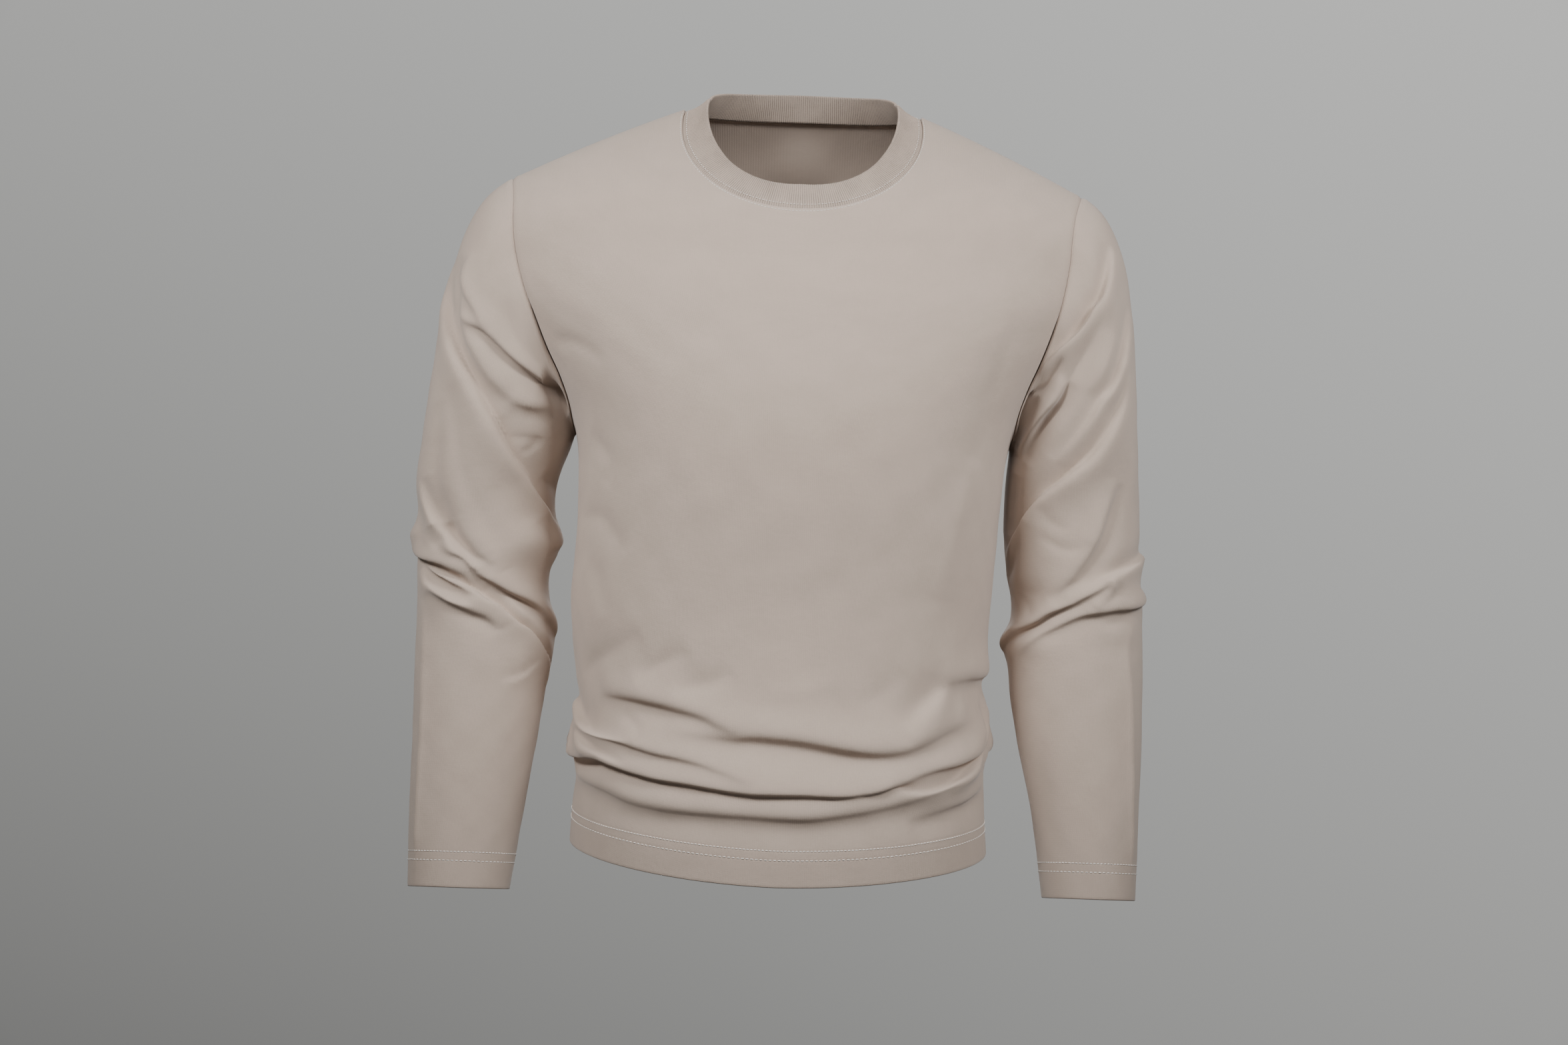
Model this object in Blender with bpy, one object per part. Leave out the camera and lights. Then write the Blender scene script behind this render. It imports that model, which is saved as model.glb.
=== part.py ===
# Long-sleeve t-shirt in cotton jersey, kept in the hollow form that it has when worn.
# Metres, +Z up, front towards -Y. The origin lies midway between the two neck ends of the shoulder seams.
# "right" and "left" are the wearer's own, so right is towards -X.

from collections import namedtuple
import math

import bmesh
import bpy
import numpy as np

MM = 0.001
COLLECTION = "long_sleeve_t_shirt"

# Cloth, in metres
CLOTH = 1.2 * MM
HEM_CLOTH = 2.0 * MM
SEAM_GAP = 0.3 * MM
RIB_BAND_WIDTH = 22 * MM
RIB_BAND_CLOTH = 1.8 * MM
RIB_RELIEF = 0.25 * MM
RIBS_PER_PLAIN_COLUMN = 4

# Heights of the cut, in mm below the neck ends of the shoulder seams; the hem rises towards the side seams
HEM_Z = -580
HEM_RISE = 12
HEM_RISE_CURVE = 1.6
UNDERARM_Z = -252
SHOULDER_DROP = 58.5
SHOULDER_CROWN = 2.0

# Neckline, in mm
NECK_HALF_WIDTH = 92.5
NECK_WIDEST_Z = -12
NECK_FRONT_Z = -87
NECK_BACK_Z = 8
NECK_ROUNDNESS = 2.1
NECK_APEX_Z = 38

# Extra room in mm between the columns at the neck ends of the shoulder seams, the share of the panel's
# width over which it fades, and how quickly it comes in on the way up to the seam
NECK_CORNER_SPREAD = 8
NECK_CORNER_WIDTH = 0.12
NECK_CORNER_ONSET = 8

# Roundness of the body's cross-section (2 is an ellipse) and of the roll over the shoulder
BODY_ROUNDNESS = 2.4
SLEEVE_ROUNDNESS = 2.15
SHOULDER_ROLL = 70
SHOULDER_ROLL_ROUNDNESS = 2.2

# Girth of a quarter of the body and of a sleeve, in mm, for placing folds
BODY_QUARTER = 220
SLEEVE_QUARTER = 75

# Body sections from the neck to the hem, in mm from the origin
BodySection = namedtuple("BodySection", "z right left front back")
BODY_SECTIONS = (
    BodySection(40, 268, 262, 12, 62),
    BodySection(8, 266, 261, 24, 80),
    BodySection(-30, 265, 260, 44, 94),
    BodySection(-60, 264, 258, 64, 104),
    BodySection(-87, 256, 248, 82, 111),
    BodySection(-120, 245, 237, 95, 117),
    BodySection(-155, 230, 224, 106, 121),
    BodySection(-180, 212, 208, 111, 122),
    BodySection(-212, 188, 187, 116, 121),
    BodySection(-240, 172, 173, 118, 118),
    BodySection(-252, 168, 169, 118, 117),
    BodySection(-300, 164, 163, 115, 110),
    BodySection(-350, 165, 160, 110, 102),
    BodySection(-378, 167, 158, 108, 99),
    BodySection(-410, 165, 156, 108, 98),
    BodySection(-440, 161, 155, 110, 99),
    BodySection(-480, 159, 158, 116, 103),
    BodySection(-530, 160, 158, 123, 109),
    BodySection(-582, 162, 162, 125, 112),
)

# The armhole seam's distance from the middle of the body, in mm
ArmholeRow = namedtuple("ArmholeRow", "z right left")
ARMHOLE_ROWS = (
    ArmholeRow(-58.5, 223, 218),
    ArmholeRow(-78, 218, 210),
    ArmholeRow(-100, 215.5, 205.5),
    ArmholeRow(-120, 212.5, 203.5),
    ArmholeRow(-145, 205.5, 199),
    ArmholeRow(-170, 196, 192.5),
    ArmholeRow(-195, 186, 184),
    ArmholeRow(-215, 176.5, 176),
    ArmholeRow(-235, 170, 170.5),
    ArmholeRow(-252, 168, 169),
)

# Sleeve sections from the underarm to the cuff, in mm: how far out the sleeve's two sides are,
# half its depth from front to back, and where its middle lies
SleeveSection = namedtuple("SleeveSection", "z outer inner half_depth middle_y")
SLEEVE_RIGHT_SECTIONS = (
    SleeveSection(-262, 287.5, 172, 60, 4),
    SleeveSection(-298, 291, 183.5, 57, 5),
    SleeveSection(-320, 289, 183, 56, 6),
    SleeveSection(-341, 291, 176, 55, 6),
    SleeveSection(-362, 288.5, 186, 54, 6),
    SleeveSection(-385, 287.5, 186, 53, 5),
    SleeveSection(-402, 287, 181, 51.5, 3),
    SleeveSection(-430, 286.5, 181, 49, -2),
    SleeveSection(-452, 286, 185, 47, -6),
    SleeveSection(-480, 284.5, 188, 44.5, -12),
    SleeveSection(-540, 283, 195.5, 39.5, -24),
    SleeveSection(-605, 280, 203.5, 34.5, -36.5),
)
SLEEVE_LEFT_SECTIONS = (
    SleeveSection(-262, 269.5, 170.5, 60, 4),
    SleeveSection(-290, 271.5, 168, 57, 5),
    SleeveSection(-330, 274, 169, 56, 6),
    SleeveSection(-352, 275.5, 172, 55, 6),
    SleeveSection(-375, 279, 176.5, 54, 6),
    SleeveSection(-390, 277.5, 176, 52.5, 4),
    SleeveSection(-408, 278, 169.5, 51, 2),
    SleeveSection(-424, 278, 174, 49.5, -1),
    SleeveSection(-445, 278, 176.5, 47.5, -5),
    SleeveSection(-480, 277, 182, 44.5, -12),
    SleeveSection(-540, 274.5, 194.5, 39.5, -24),
    SleeveSection(-598, 272, 202, 34.5, -35.5),
)
# The forearm leans forward below the elbow, coming in over this run in mm
FOREARM_LEAN = math.radians(11)
FOREARM_LEAN_RUN = 80
ELBOW_Z = -380

# How the cap of the sleeve leaves the armhole: a row for the top, the front, the underarm and the back.
# Handles are in mm; out, forward and down give the direction in which the cloth leaves the seam.
# The arm's own direction is read over a short step below the cap.
ARM_DIRECTION_STEP = 8
CapRow = namedtuple("CapRow", "angle out forward down seam_handle arm_handle")
CAP_ROWS = (
    CapRow(-90, 0.30, 0.0, 0.95, 4, 5),
    CapRow(-45, 0.60, 0.30, 0.74, 14, 22),
    CapRow(0, 0.84, 0.30, 0.45, 26, 46),
    CapRow(45, 0.90, 0.20, 0.38, 38, 84),
    CapRow(90, 0.91, 0.0, 0.42, 48, 110),
    CapRow(135, 0.90, -0.20, 0.38, 38, 84),
    CapRow(180, 0.84, -0.30, 0.45, 26, 46),
    CapRow(225, 0.60, -0.30, 0.74, 14, 22),
    CapRow(270, 0.30, 0.0, 0.95, 4, 5),
)

# How steeply the neckband stands, in degrees above level, at its seam and at its fold
BandRow = namedtuple("BandRow", "angle at_seam at_fold")
BAND_ROWS = (
    BandRow(0, 62, 66),
    BandRow(45, 46, 56),
    BandRow(90, 14, 48),
    BandRow(135, 48, 70),
    BandRow(180, 64, 76),
)

# Colours of the knitted cotton, linear, with its roughness
JERSEY_COLOURS = {
    "front": (0.480, 0.418, 0.371),
    "back": (0.470, 0.409, 0.363),
    "sleeve_right": (0.475, 0.413, 0.367),
    "sleeve_left": (0.475, 0.413, 0.367),
}
JERSEY_ROUGHNESS = 0.85
RIB_COLOUR = (0.465, 0.404, 0.358)
RIB_ROUGHNESS = 0.9
SHARP_ANGLE = math.radians(40)

# Pieces share their directions along a seam, fully once the cosine of the angle between them is this far
# above the lowest one
SHARED_COSINE_LOW = -0.1
SHARED_COSINE_RUN = 0.6

# Mesh density
SHOULDER_COLUMNS = 5
FRONT_NECK_COLUMNS = 14
BACK_NECK_COLUMNS = 10
YOKE_ROWS = 11
YOKE_ROW_CURVE = 1.5
CAP_ROW_COUNT = 9
UPPER_BODY_ROWS = 11
WAIST_Z = -440
WAIST_ROWS = 14
SLEEVE_ROWS = 24
HEM_ROWS = (26, 24, 12, 0)
BAND_STEPS = 2
PLAIN_COLUMNS = 3


def eased(value):
    value = np.clip(value, 0.0, 1.0)
    return value * value * (3.0 - 2.0 * value)


def smooth_read(rows, key, column, at):
    """Read one column of a table at any key, along a smooth curve through its rows."""
    keys = np.array([getattr(row, key) for row in rows], dtype=float)
    values = np.array([getattr(row, column) for row in rows], dtype=float)
    if keys[0] > keys[-1]:
        keys = keys[::-1]
        values = values[::-1]
    slopes = np.gradient(values, keys)
    at = np.clip(np.asarray(at, dtype=float), keys[0], keys[-1])
    span = np.clip(np.searchsorted(keys, at, side="right") - 1, 0, len(keys) - 2)
    width = keys[span + 1] - keys[span]
    t = (at - keys[span]) / width
    return ((2 * t**3 - 3 * t**2 + 1) * values[span]
            + (t**3 - 2 * t**2 + t) * width * slopes[span]
            + (3 * t**2 - 2 * t**3) * values[span + 1]
            + (t**3 - t**2) * width * slopes[span + 1])


def arch(ratio, roundness):
    """Height of a unit superellipse at a distance from its middle."""
    ratio = np.clip(np.abs(ratio), 0.0, 1.0)
    return (1.0 - ratio**roundness)**(1.0 / roundness)


def ridge_height(x):
    """Height of the shoulder seam, carried on over the neck as a dome."""
    side = np.where(x < 0, ARMHOLE_ROWS[0].right, ARMHOLE_ROWS[0].left)
    neck_end = neck_point(0.0)[0]
    along = (np.abs(x) - neck_end) / (side - neck_end)
    slope = -SHOULDER_DROP + 4 * SHOULDER_CROWN
    shoulder = -SHOULDER_DROP * along + 4 * SHOULDER_CROWN * along * (1.0 - along)
    inner = 1.0 - np.clip(np.abs(x) / neck_end, 0.0, 1.0)**2
    cone = -0.5 * slope * neck_end / (side - neck_end)
    dome = cone * inner + (NECK_APEX_Z - cone) * inner**2
    return np.where(along > 0, shoulder, dome)


def neck_point(turn):
    """Front neckline in mm: turn 0 is the shoulder seam's end, 1 the middle of the front."""
    drop = NECK_WIDEST_Z - NECK_FRONT_Z
    start = -math.asin((-NECK_WIDEST_Z / drop)**(NECK_ROUNDNESS / 2))
    angle = start + turn * (math.pi / 2 - start)
    power = 2 / NECK_ROUNDNESS
    x = NECK_HALF_WIDTH * abs(math.cos(angle))**power
    z = NECK_WIDEST_Z - drop * math.copysign(abs(math.sin(angle))**power, angle)
    return x, z


def body_y(x, z, side):
    """Depth of the body's surface in mm at a place seen from the front; side is front or back."""
    half = np.where(x < 0, smooth_read(BODY_SECTIONS, "z", "right", z),
                    smooth_read(BODY_SECTIONS, "z", "left", z))
    depth = smooth_read(BODY_SECTIONS, "z", side, z)
    below_ridge = np.clip((ridge_height(x) - z) / SHOULDER_ROLL, 0.0, 1.0)
    roll = arch(1.0 - below_ridge, SHOULDER_ROLL_ROUNDNESS)
    y = depth * roll * arch(x / half, BODY_ROUNDNESS)
    return -y if side == "front" else y


def body_angle(x, y, z):
    """Angle round the body in degrees: 0 at the front, 90 at the left side seam, 180 at the back."""
    half = np.where(x < 0, smooth_read(BODY_SECTIONS, "z", "right", z),
                    smooth_read(BODY_SECTIONS, "z", "left", z))
    ratio = np.clip(np.abs(x) / half, 0.0, 1.0)
    angle = np.degrees(np.arcsin(ratio**(BODY_ROUNDNESS / 2)))
    angle = np.where(y > 0, 180.0 - angle, angle)
    return np.where(x < 0, -angle, angle)


def armhole_x(z, side):
    return smooth_read(ARMHOLE_ROWS, "z", side, z)


def panel_columns(neck_columns):
    """Places across a panel: -1 and 1 are its sides, -0.5 and 0.5 the ends of the neckline."""
    shoulder = np.linspace(-1.0, -0.5, SHOULDER_COLUMNS + 1)[:-1]
    neck = np.linspace(-0.5, 0.5, neck_columns + 1)
    return np.concatenate([shoulder, neck, -shoulder[::-1]])


def panel_top(u, side):
    """Top edge of a panel in mm: shoulder seam, neckline, shoulder seam."""
    neck_end = neck_point(0.0)[0]
    if abs(u) >= 0.5:
        tip = ARMHOLE_ROWS[0].right if u < 0 else ARMHOLE_ROWS[0].left
        x = math.copysign(neck_end + (abs(u) - 0.5) * 2 * (tip - neck_end), u)
        return x, float(ridge_height(np.array(x)))
    if side == "front":
        x, z = neck_point(1.0 - abs(u) * 2)
        return math.copysign(x, u), z
    x = neck_end * math.sin(u * math.pi)
    return x, NECK_BACK_Z * (1.0 - (x / neck_end)**2)


def body_row_heights():
    """Heights of the panel rows in mm, from the hem to the underarm."""
    hem = [HEM_Z + above for above in reversed(HEM_ROWS)]
    waist = np.linspace(hem[-1], WAIST_Z, WAIST_ROWS + 1)[1:]
    upper = np.linspace(WAIST_Z, UNDERARM_Z, UPPER_BODY_ROWS + 1)[1:]
    return [*hem, *waist, *upper]


def body_panel(side, neck_columns):
    """Rows of points in mm from the hem to the shoulder seam and neckline."""
    columns = panel_columns(neck_columns)
    turn = columns * math.pi / 2
    across = np.sign(turn) * np.abs(np.sin(turn))**(2 / BODY_ROUNDNESS)
    rows = []
    for row_z in body_row_heights():
        low_share = eased((WAIST_Z - row_z) / (WAIST_Z - HEM_Z))
        z = row_z + HEM_RISE * low_share * np.abs(across)**HEM_RISE_CURVE
        half = np.where(columns < 0, smooth_read(BODY_SECTIONS, "z", "right", z),
                        smooth_read(BODY_SECTIONS, "z", "left", z))
        depth = smooth_read(BODY_SECTIONS, "z", side, z)
        y = depth * np.abs(np.cos(turn))**(2 / BODY_ROUNDNESS)
        y = np.where(np.abs(columns) == 1.0, 0.0, -y if side == "front" else y)
        rows.append(np.stack([across * half, y, z], axis=1))
    underarm = rows[-1]
    top = np.array([panel_top(u, side) for u in columns])
    share = (columns + 1.0) / 2
    for row in range(1, YOKE_ROWS + 1):
        v = 1.0 - (1.0 - row / YOKE_ROWS)**YOKE_ROW_CURVE
        z_side = UNDERARM_Z + (-SHOULDER_DROP - UNDERARM_Z) * v
        right = np.array([-armhole_x(z_side, "right"), z_side])
        left = np.array([armhole_x(z_side, "left"), z_side])
        low = underarm[:, [0, 2]]
        flat = (1 - v) * low + v * top
        flat += np.outer(1 - share, right) + np.outer(share, left)
        flat -= np.outer(1 - share, (1 - v) * low[0] + v * top[0])
        flat -= np.outer(share, (1 - v) * low[-1] + v * top[-1])
        corner = np.exp(-((np.abs(columns) - 0.5) / NECK_CORNER_WIDTH)**2)
        corner *= math.sin(math.pi * v**NECK_CORNER_ONSET)
        flat[:, 0] += np.sign(columns) * NECK_CORNER_SPREAD * corner
        y = body_y(flat[:, 0], flat[:, 1], side)
        rows.append(np.stack([flat[:, 0], y, flat[:, 1]], axis=1))
    return np.array(rows)


def armhole_loop(front, back, side):
    """The armhole seam in mm, from the underarm up the front, over the shoulder and down the back."""
    column = 0 if side == "right" else -1
    low = len(body_row_heights()) - 1
    up = front[low:, column]
    down = back[low:, column][::-1]
    return np.concatenate([up, down[1:]])


def sleeve_panel(side, loop):
    """Rings of points in mm from the armhole seam to the cuff; the first and last column meet."""
    sections = SLEEVE_RIGHT_SECTIONS if side == "right" else SLEEVE_LEFT_SECTIONS
    outward = -1.0 if side == "right" else 1.0
    count = len(loop)
    angle = np.linspace(-90, 270, count)
    turn = np.radians(angle)
    power = 2 / SLEEVE_ROUNDNESS
    out = np.sign(np.sin(turn)) * np.abs(np.sin(turn))**power
    fore = np.sign(np.cos(turn)) * np.abs(np.cos(turn))**power

    def ring(z):
        outer = smooth_read(sections, "z", "outer", z)
        inner = smooth_read(sections, "z", "inner", z)
        depth = smooth_read(sections, "z", "half_depth", z)
        middle = smooth_read(sections, "z", "middle_y", z)
        lean = math.tan(FOREARM_LEAN) * eased((ELBOW_Z - z) / FOREARM_LEAN_RUN)
        x = (outer + inner) / 2 + (outer - inner) / 2 * out
        y = middle - depth * fore
        return np.stack([outward * x, y, z - (y - middle) * lean], axis=1)

    arm_top = ring(sections[0].z)
    arm_next = ring(sections[0].z - ARM_DIRECTION_STEP)
    upward = arm_top - arm_next
    upward /= np.linalg.norm(upward, axis=1)[:, None]
    leave = np.stack([outward * smooth_read(CAP_ROWS, "angle", "out", angle),
                      -smooth_read(CAP_ROWS, "angle", "forward", angle),
                      -smooth_read(CAP_ROWS, "angle", "down", angle)], axis=1)
    seam_handle = smooth_read(CAP_ROWS, "angle", "seam_handle", angle)[:, None]
    arm_handle = smooth_read(CAP_ROWS, "angle", "arm_handle", angle)[:, None]
    near_seam = loop + leave * seam_handle
    near_arm = arm_top + upward * arm_handle
    rows = []
    for step in range(CAP_ROW_COUNT):
        t = step / CAP_ROW_COUNT
        rows.append((1 - t)**3 * loop + 3 * (1 - t)**2 * t * near_seam
                    + 3 * (1 - t) * t**2 * near_arm + t**3 * arm_top)
    hem = [sections[-1].z + above for above in HEM_ROWS]
    arm = np.linspace(sections[0].z, hem[0], SLEEVE_ROWS + 1)[:-1]
    return np.array(rows + [ring(z) for z in (*arm, *hem)])


# Folds. A path runs over the cloth through (girth, height) points in mm; girth is 0 at the front and grows
# towards the wearer's left on the body and towards the outer side on a sleeve. Crest is the height of a
# ridge on the path itself. Upper and lower are the heights of the rolls beside it, on the left and on the
# right of its direction, each strongest at its own reach from the path. Negative values are troughs.
Fold = namedtuple("Fold", "path crest upper lower upper_reach lower_reach")
BODY_FOLDS = (
    # Across the front of the waist, from the top down
    Fold(((-132, -451), (-108, -453), (-84, -454), (-55, -458), (-24, -470)), 0, 2.5, -3.5, 9, 7),
    Fold(((-66, -476), (-40, -477), (10, -479), (50, -483), (80, -479), (114, -473), (152, -466)),
         0, 4.0, -3.5, 13, 8),
    Fold(((-225, -462), (-172, -468), (-145, -478), (-112, -482)), 0, -2.5, 3.5, 6, 6),
    Fold(((-172, -486), (-125, -487), (-97, -488), (-68, -492), (-42, -496), (-12, -504)),
         0, 4.5, -4.0, 9, 7),
    Fold(((-262, -492), (-205, -496), (-147, -503), (-114, -501), (-81, -506), (-30, -511), (35, -512),
          (60, -506), (103, -499), (132, -491), (187, -486), (262, -490)), 0, 6.0, -6.0, 9, 6),
    Fold(((-262, -506), (-209, -510), (-147, -519), (-95, -527), (-55, -531), (30, -531), (62, -526),
          (125, -512), (180, -501), (250, -500)), 0, 5.0, -4.0, 12, 10),
    Fold(((76, -532), (106, -529), (136, -522), (165, -516), (215, -504)), 0, 2.5, -2.0, 8, 8),
    Fold(((98, -446), (117, -437), (136, -434), (172, -433), (240, -432)), 0, 5.0, -3.0, 9, 8),
    Fold(((86, -467), (101, -453), (117, -438)), 0, -2.0, 2.5, 10, 9),
    # Soft drags from the sides and the chest
    Fold(((-160, -436), (-128, -422), (-92, -406)), -2.5, 0, 0, 10, 10),
    Fold(((-86, -433), (-52, -414)), -2.0, 0, 0, 9, 9),
    Fold(((-150, -318), (-126, -333), (-100, -350)), -1.5, 0, 0, 10, 10),
    Fold(((124, -250), (110, -312), (95, -375)), 2.0, 0, 0, 13, 13),
    Fold(((-140, -193), (-124, -194), (-106, -206)), -2.0, 0, 0, 7, 7),
    # Across the back of the waist
    Fold(((232, -440), (300, -452), (352, -470)), 0, 3.0, -2.5, 10, 8),
    Fold(((330, -448), (400, -458), (468, -460), (540, -452)), 0, 3.5, -3.5, 12, 9),
    Fold(((640, -446), (590, -460), (540, -478)), 0, -3.0, 3.0, 8, 9),
    Fold(((198, -490), (262, -494), (330, -507), (400, -514), (470, -513), (548, -505), (610, -497),
          (690, -493)), 0, 5.5, -5.0, 10, 7),
    Fold(((200, -505), (280, -518), (352, -530), (430, -534), (505, -531), (580, -521), (680, -507)),
         0, 4.5, -4.0, 12, 10),
    # Down the back, from the shoulder blades
    Fold(((318, -215), (330, -290), (350, -368)), 2.5, 0, 0, 18, 18),
    Fold(((560, -220), (546, -300), (520, -380)), 2.5, 0, 0, 18, 18),
    Fold(((262, -270), (284, -330), (318, -392)), 0, 2.0, -2.0, 14, 12),
    Fold(((622, -276), (598, -340), (560, -404)), 0, -2.0, 2.0, 12, 14),
)
SLEEVE_RIGHT_FOLDS = (
    # From the shoulder down to the inner elbow
    Fold(((42, -138), (36, -183), (20, -214), (4, -235), (-14, -262), (-40, -292), (-62, -309), (-78, -320)),
         0, 3.5, -4.0, 6, 7),
    Fold(((50, -138), (29, -165), (22, -190), (6, -207), (-4, -228), (-14, -240)), -2.0, 0, 0, 6, 6),
    Fold(((47, -126), (27, -150), (23, -168), (11, -182)), 0, -1.5, 2.0, 6, 6),
    Fold(((22, -172), (8, -184), (-8, -198), (-26, -213), (-50, -228), (-68, -238)), 0, -3.0, 3.0, 6, 7),
    Fold(((-6, -164), (-14, -188), (-38, -205)), -1.5, 0, 0, 6, 6),
    Fold(((34, -222), (28, -276), (27, -318)), -2.0, 0, 0, 7, 7),
    # Round the elbow
    Fold(((43, -296), (38, -325), (24, -337), (15, -346), (4, -355), (-8, -363)), 0, 2.5, -2.0, 5, 6),
    Fold(((78, -334), (58, -340), (38, -343)), -4.0, 0, 0, 7, 7),
    Fold(((-96, -414), (-58, -398), (-28, -381), (-4, -368), (15, -355), (26, -350), (45, -352), (72, -350)),
         0, 4.0, -4.0, 8, 5),
    Fold(((-66, -440), (-52, -423), (-31, -405), (-14, -391), (15, -374), (50, -362), (82, -356)),
         0, -3.5, 3.0, 5, 6),
    Fold(((-22, -412), (0, -397), (25, -389), (46, -381), (84, -374)), 0, 3.0, -2.5, 7, 6),
    # On the hidden sides
    Fold(((96, -150), (110, -205), (140, -262), (178, -300)), 0, -3.0, 3.0, 8, 8),
    Fold(((118, -142), (150, -196), (196, -232)), -2.5, 0, 0, 8, 8),
    Fold(((70, -351), (104, -356), (140, -370), (178, -392), (214, -408)), 0, 4.0, -4.0, 8, 6),
    Fold(((78, -366), (112, -376), (150, -394), (186, -420)), 0, 3.5, -3.0, 7, 7),
    Fold(((100, -318), (136, -330), (168, -352)), -2.5, 0, 0, 8, 8),
)
SLEEVE_LEFT_FOLDS = (
    # From the shoulder down to the inner elbow
    Fold(((46, -106), (29, -124), (8, -148), (-6, -165), (-30, -187), (-52, -206)), 0, 3.0, -3.5, 6, 6),
    Fold(((-26, -213), (-44, -238), (-58, -264)), 3.0, 0, 0, 6, 6),
    Fold(((26, -146), (-6, -182), (-20, -209), (-42, -248)), -2.5, 0, 0, 6, 6),
    Fold(((34, -158), (29, -190), (15, -220), (-2, -248)), -2.0, 0, 0, 6, 6),
    Fold(((27, -212), (18, -240), (4, -265), (-18, -286), (-42, -307), (-68, -334)), 0, 3.5, -3.5, 8, 7),
    Fold(((9, -222), (-5, -253), (-22, -279)), -2.0, 0, 0, 6, 6),
    # Round the elbow
    Fold(((-26, -367), (-2, -352), (3, -345), (13, -333), (23, -316)), 0, 1.5, -2.5, 5, 6),
    Fold(((-14, -369), (8, -357), (26, -350), (46, -343), (84, -334)), 0, -2.5, 3.5, 6, 5),
    Fold(((-84, -412), (-53, -398), (-31, -385), (-11, -372), (8, -363), (24, -356)), 0, 4.0, -4.0, 6, 5),
    Fold(((-60, -422), (-33, -404), (-20, -394), (-8, -386), (12, -380), (46, -376), (92, -368)),
         0, 4.0, -3.0, 7, 6),
    # On the hidden sides
    Fold(((92, -150), (112, -208), (142, -262), (176, -304)), 0, -3.0, 3.0, 8, 8),
    Fold(((120, -140), (152, -190), (200, -228)), -2.5, 0, 0, 8, 8),
    Fold(((74, -342), (106, -348), (146, -366), (182, -388), (216, -404)), 0, 4.0, -4.0, 8, 6),
    Fold(((84, -372), (118, -378), (152, -396), (190, -424)), 0, 3.5, -3.0, 7, 7),
    Fold(((96, -306), (132, -322), (166, -344)), -2.5, 0, 0, 8, 8),
)
PATH_STEPS = 5

# How folds die away: the power of the sine along a path, the run in mm from a sewn seam and from the
# neckline, and at a turned-up hem the distance and run over which they drop to a share of their height
FOLD_TAPER = 0.7
FOLD_FADE = 14
NECK_FADE = 30
HEM_FADE = 10
HEM_FADE_RUN = 30
HEM_FOLD_SHARE = 0.25


def smooth_path(points):
    """Points along a smooth curve through a path's own points."""
    points = np.array(points, dtype=float)
    if len(points) == 2:
        return points
    slopes = np.gradient(points, axis=0)
    t = np.linspace(0.0, 1.0, PATH_STEPS, endpoint=False)[:, None]
    curve = []
    for i in range(len(points) - 1):
        curve.append((2 * t**3 - 3 * t**2 + 1) * points[i]
                     + (t**3 - 2 * t**2 + t) * slopes[i]
                     + (3 * t**2 - 2 * t**3) * points[i + 1]
                     + (t**3 - t**2) * slopes[i + 1])
    return np.concatenate(curve + [points[-1:]])


def fold_height(places, folds, girth):
    """Outward movement in mm at places given as (girth, height), summed over all folds."""
    total = np.zeros(len(places))
    index = np.arange(len(places))
    for fold in folds:
        path = smooth_path(fold.path)
        start = path[:-1]
        step = path[1:] - start
        length = np.linalg.norm(step, axis=1)
        covered = np.concatenate([[0.0], np.cumsum(length)[:-1]])
        for turn in (-girth, 0.0, girth):
            offset = places[:, None, :] + np.array([turn, 0.0]) - start[None, :, :]
            t = np.clip((offset * step).sum(axis=2) / length**2, 0.0, 1.0)
            distance = np.linalg.norm(offset - t[:, :, None] * step, axis=2)
            near = distance.argmin(axis=1)
            side = (step[near, 0] * offset[index, near, 1]
                    - step[near, 1] * offset[index, near, 0])
            share = (covered[near] + t[index, near] * length[near]) / length.sum()
            taper = np.sin(np.pi * np.clip(share, 0.0, 1.0))**FOLD_TAPER
            reach = np.where(side > 0, fold.upper_reach, fold.lower_reach)
            height = np.where(side > 0, fold.upper, fold.lower)
            far = distance[index, near] / reach
            total += taper * (fold.crest * np.exp(-far**2)
                              + height * far * np.exp((1.0 - far**2) / 2))
    return total


def body_places(grid, side):
    """(girth, height) places of a panel's points; the side seams read the same from both panels."""
    y = np.full(grid.shape[:2], -1.0 if side == "front" else 1.0)
    angle = body_angle(grid[:, :, 0], y, grid[:, :, 2])
    return np.stack([angle * BODY_QUARTER / 90, grid[:, :, 2]], axis=2).reshape(-1, 2)


def sleeve_places(grid):
    angle = np.linspace(-90, 270, grid.shape[1])
    girth = np.broadcast_to(angle * SLEEVE_QUARTER / 90, grid.shape[:2])
    return np.stack([girth, grid[:, :, 2]], axis=2).reshape(-1, 2)


def grid_normals(grid, ring, turned):
    """Unit outward normals of a grid of points; a ring's first and last columns are one line."""
    along = np.gradient(grid, axis=0)
    across = np.gradient(grid, axis=1)
    if ring:
        across[:, 0] = across[:, -1] = (grid[:, 1] - grid[:, -2]) / 2
    normal = np.cross(across, along)
    if turned:
        normal = -normal
    return normal / np.maximum(np.linalg.norm(normal, axis=2), 1e-12)[:, :, None]


def share_normals(first, second):
    """Give two pieces the same directions along their seam, where the cloth doesn't double back."""
    dot = (first * second).sum(axis=-1, keepdims=True)
    middle = first + second
    middle /= np.maximum(np.linalg.norm(middle, axis=-1, keepdims=True), 1e-9)
    weight = eased((dot - SHARED_COSINE_LOW) / SHARED_COSINE_RUN)
    outcome = []
    for own in (first, second):
        mixed = own * (1.0 - weight) + middle * weight
        outcome.append(mixed / np.linalg.norm(mixed, axis=-1, keepdims=True))
    return outcome


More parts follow.
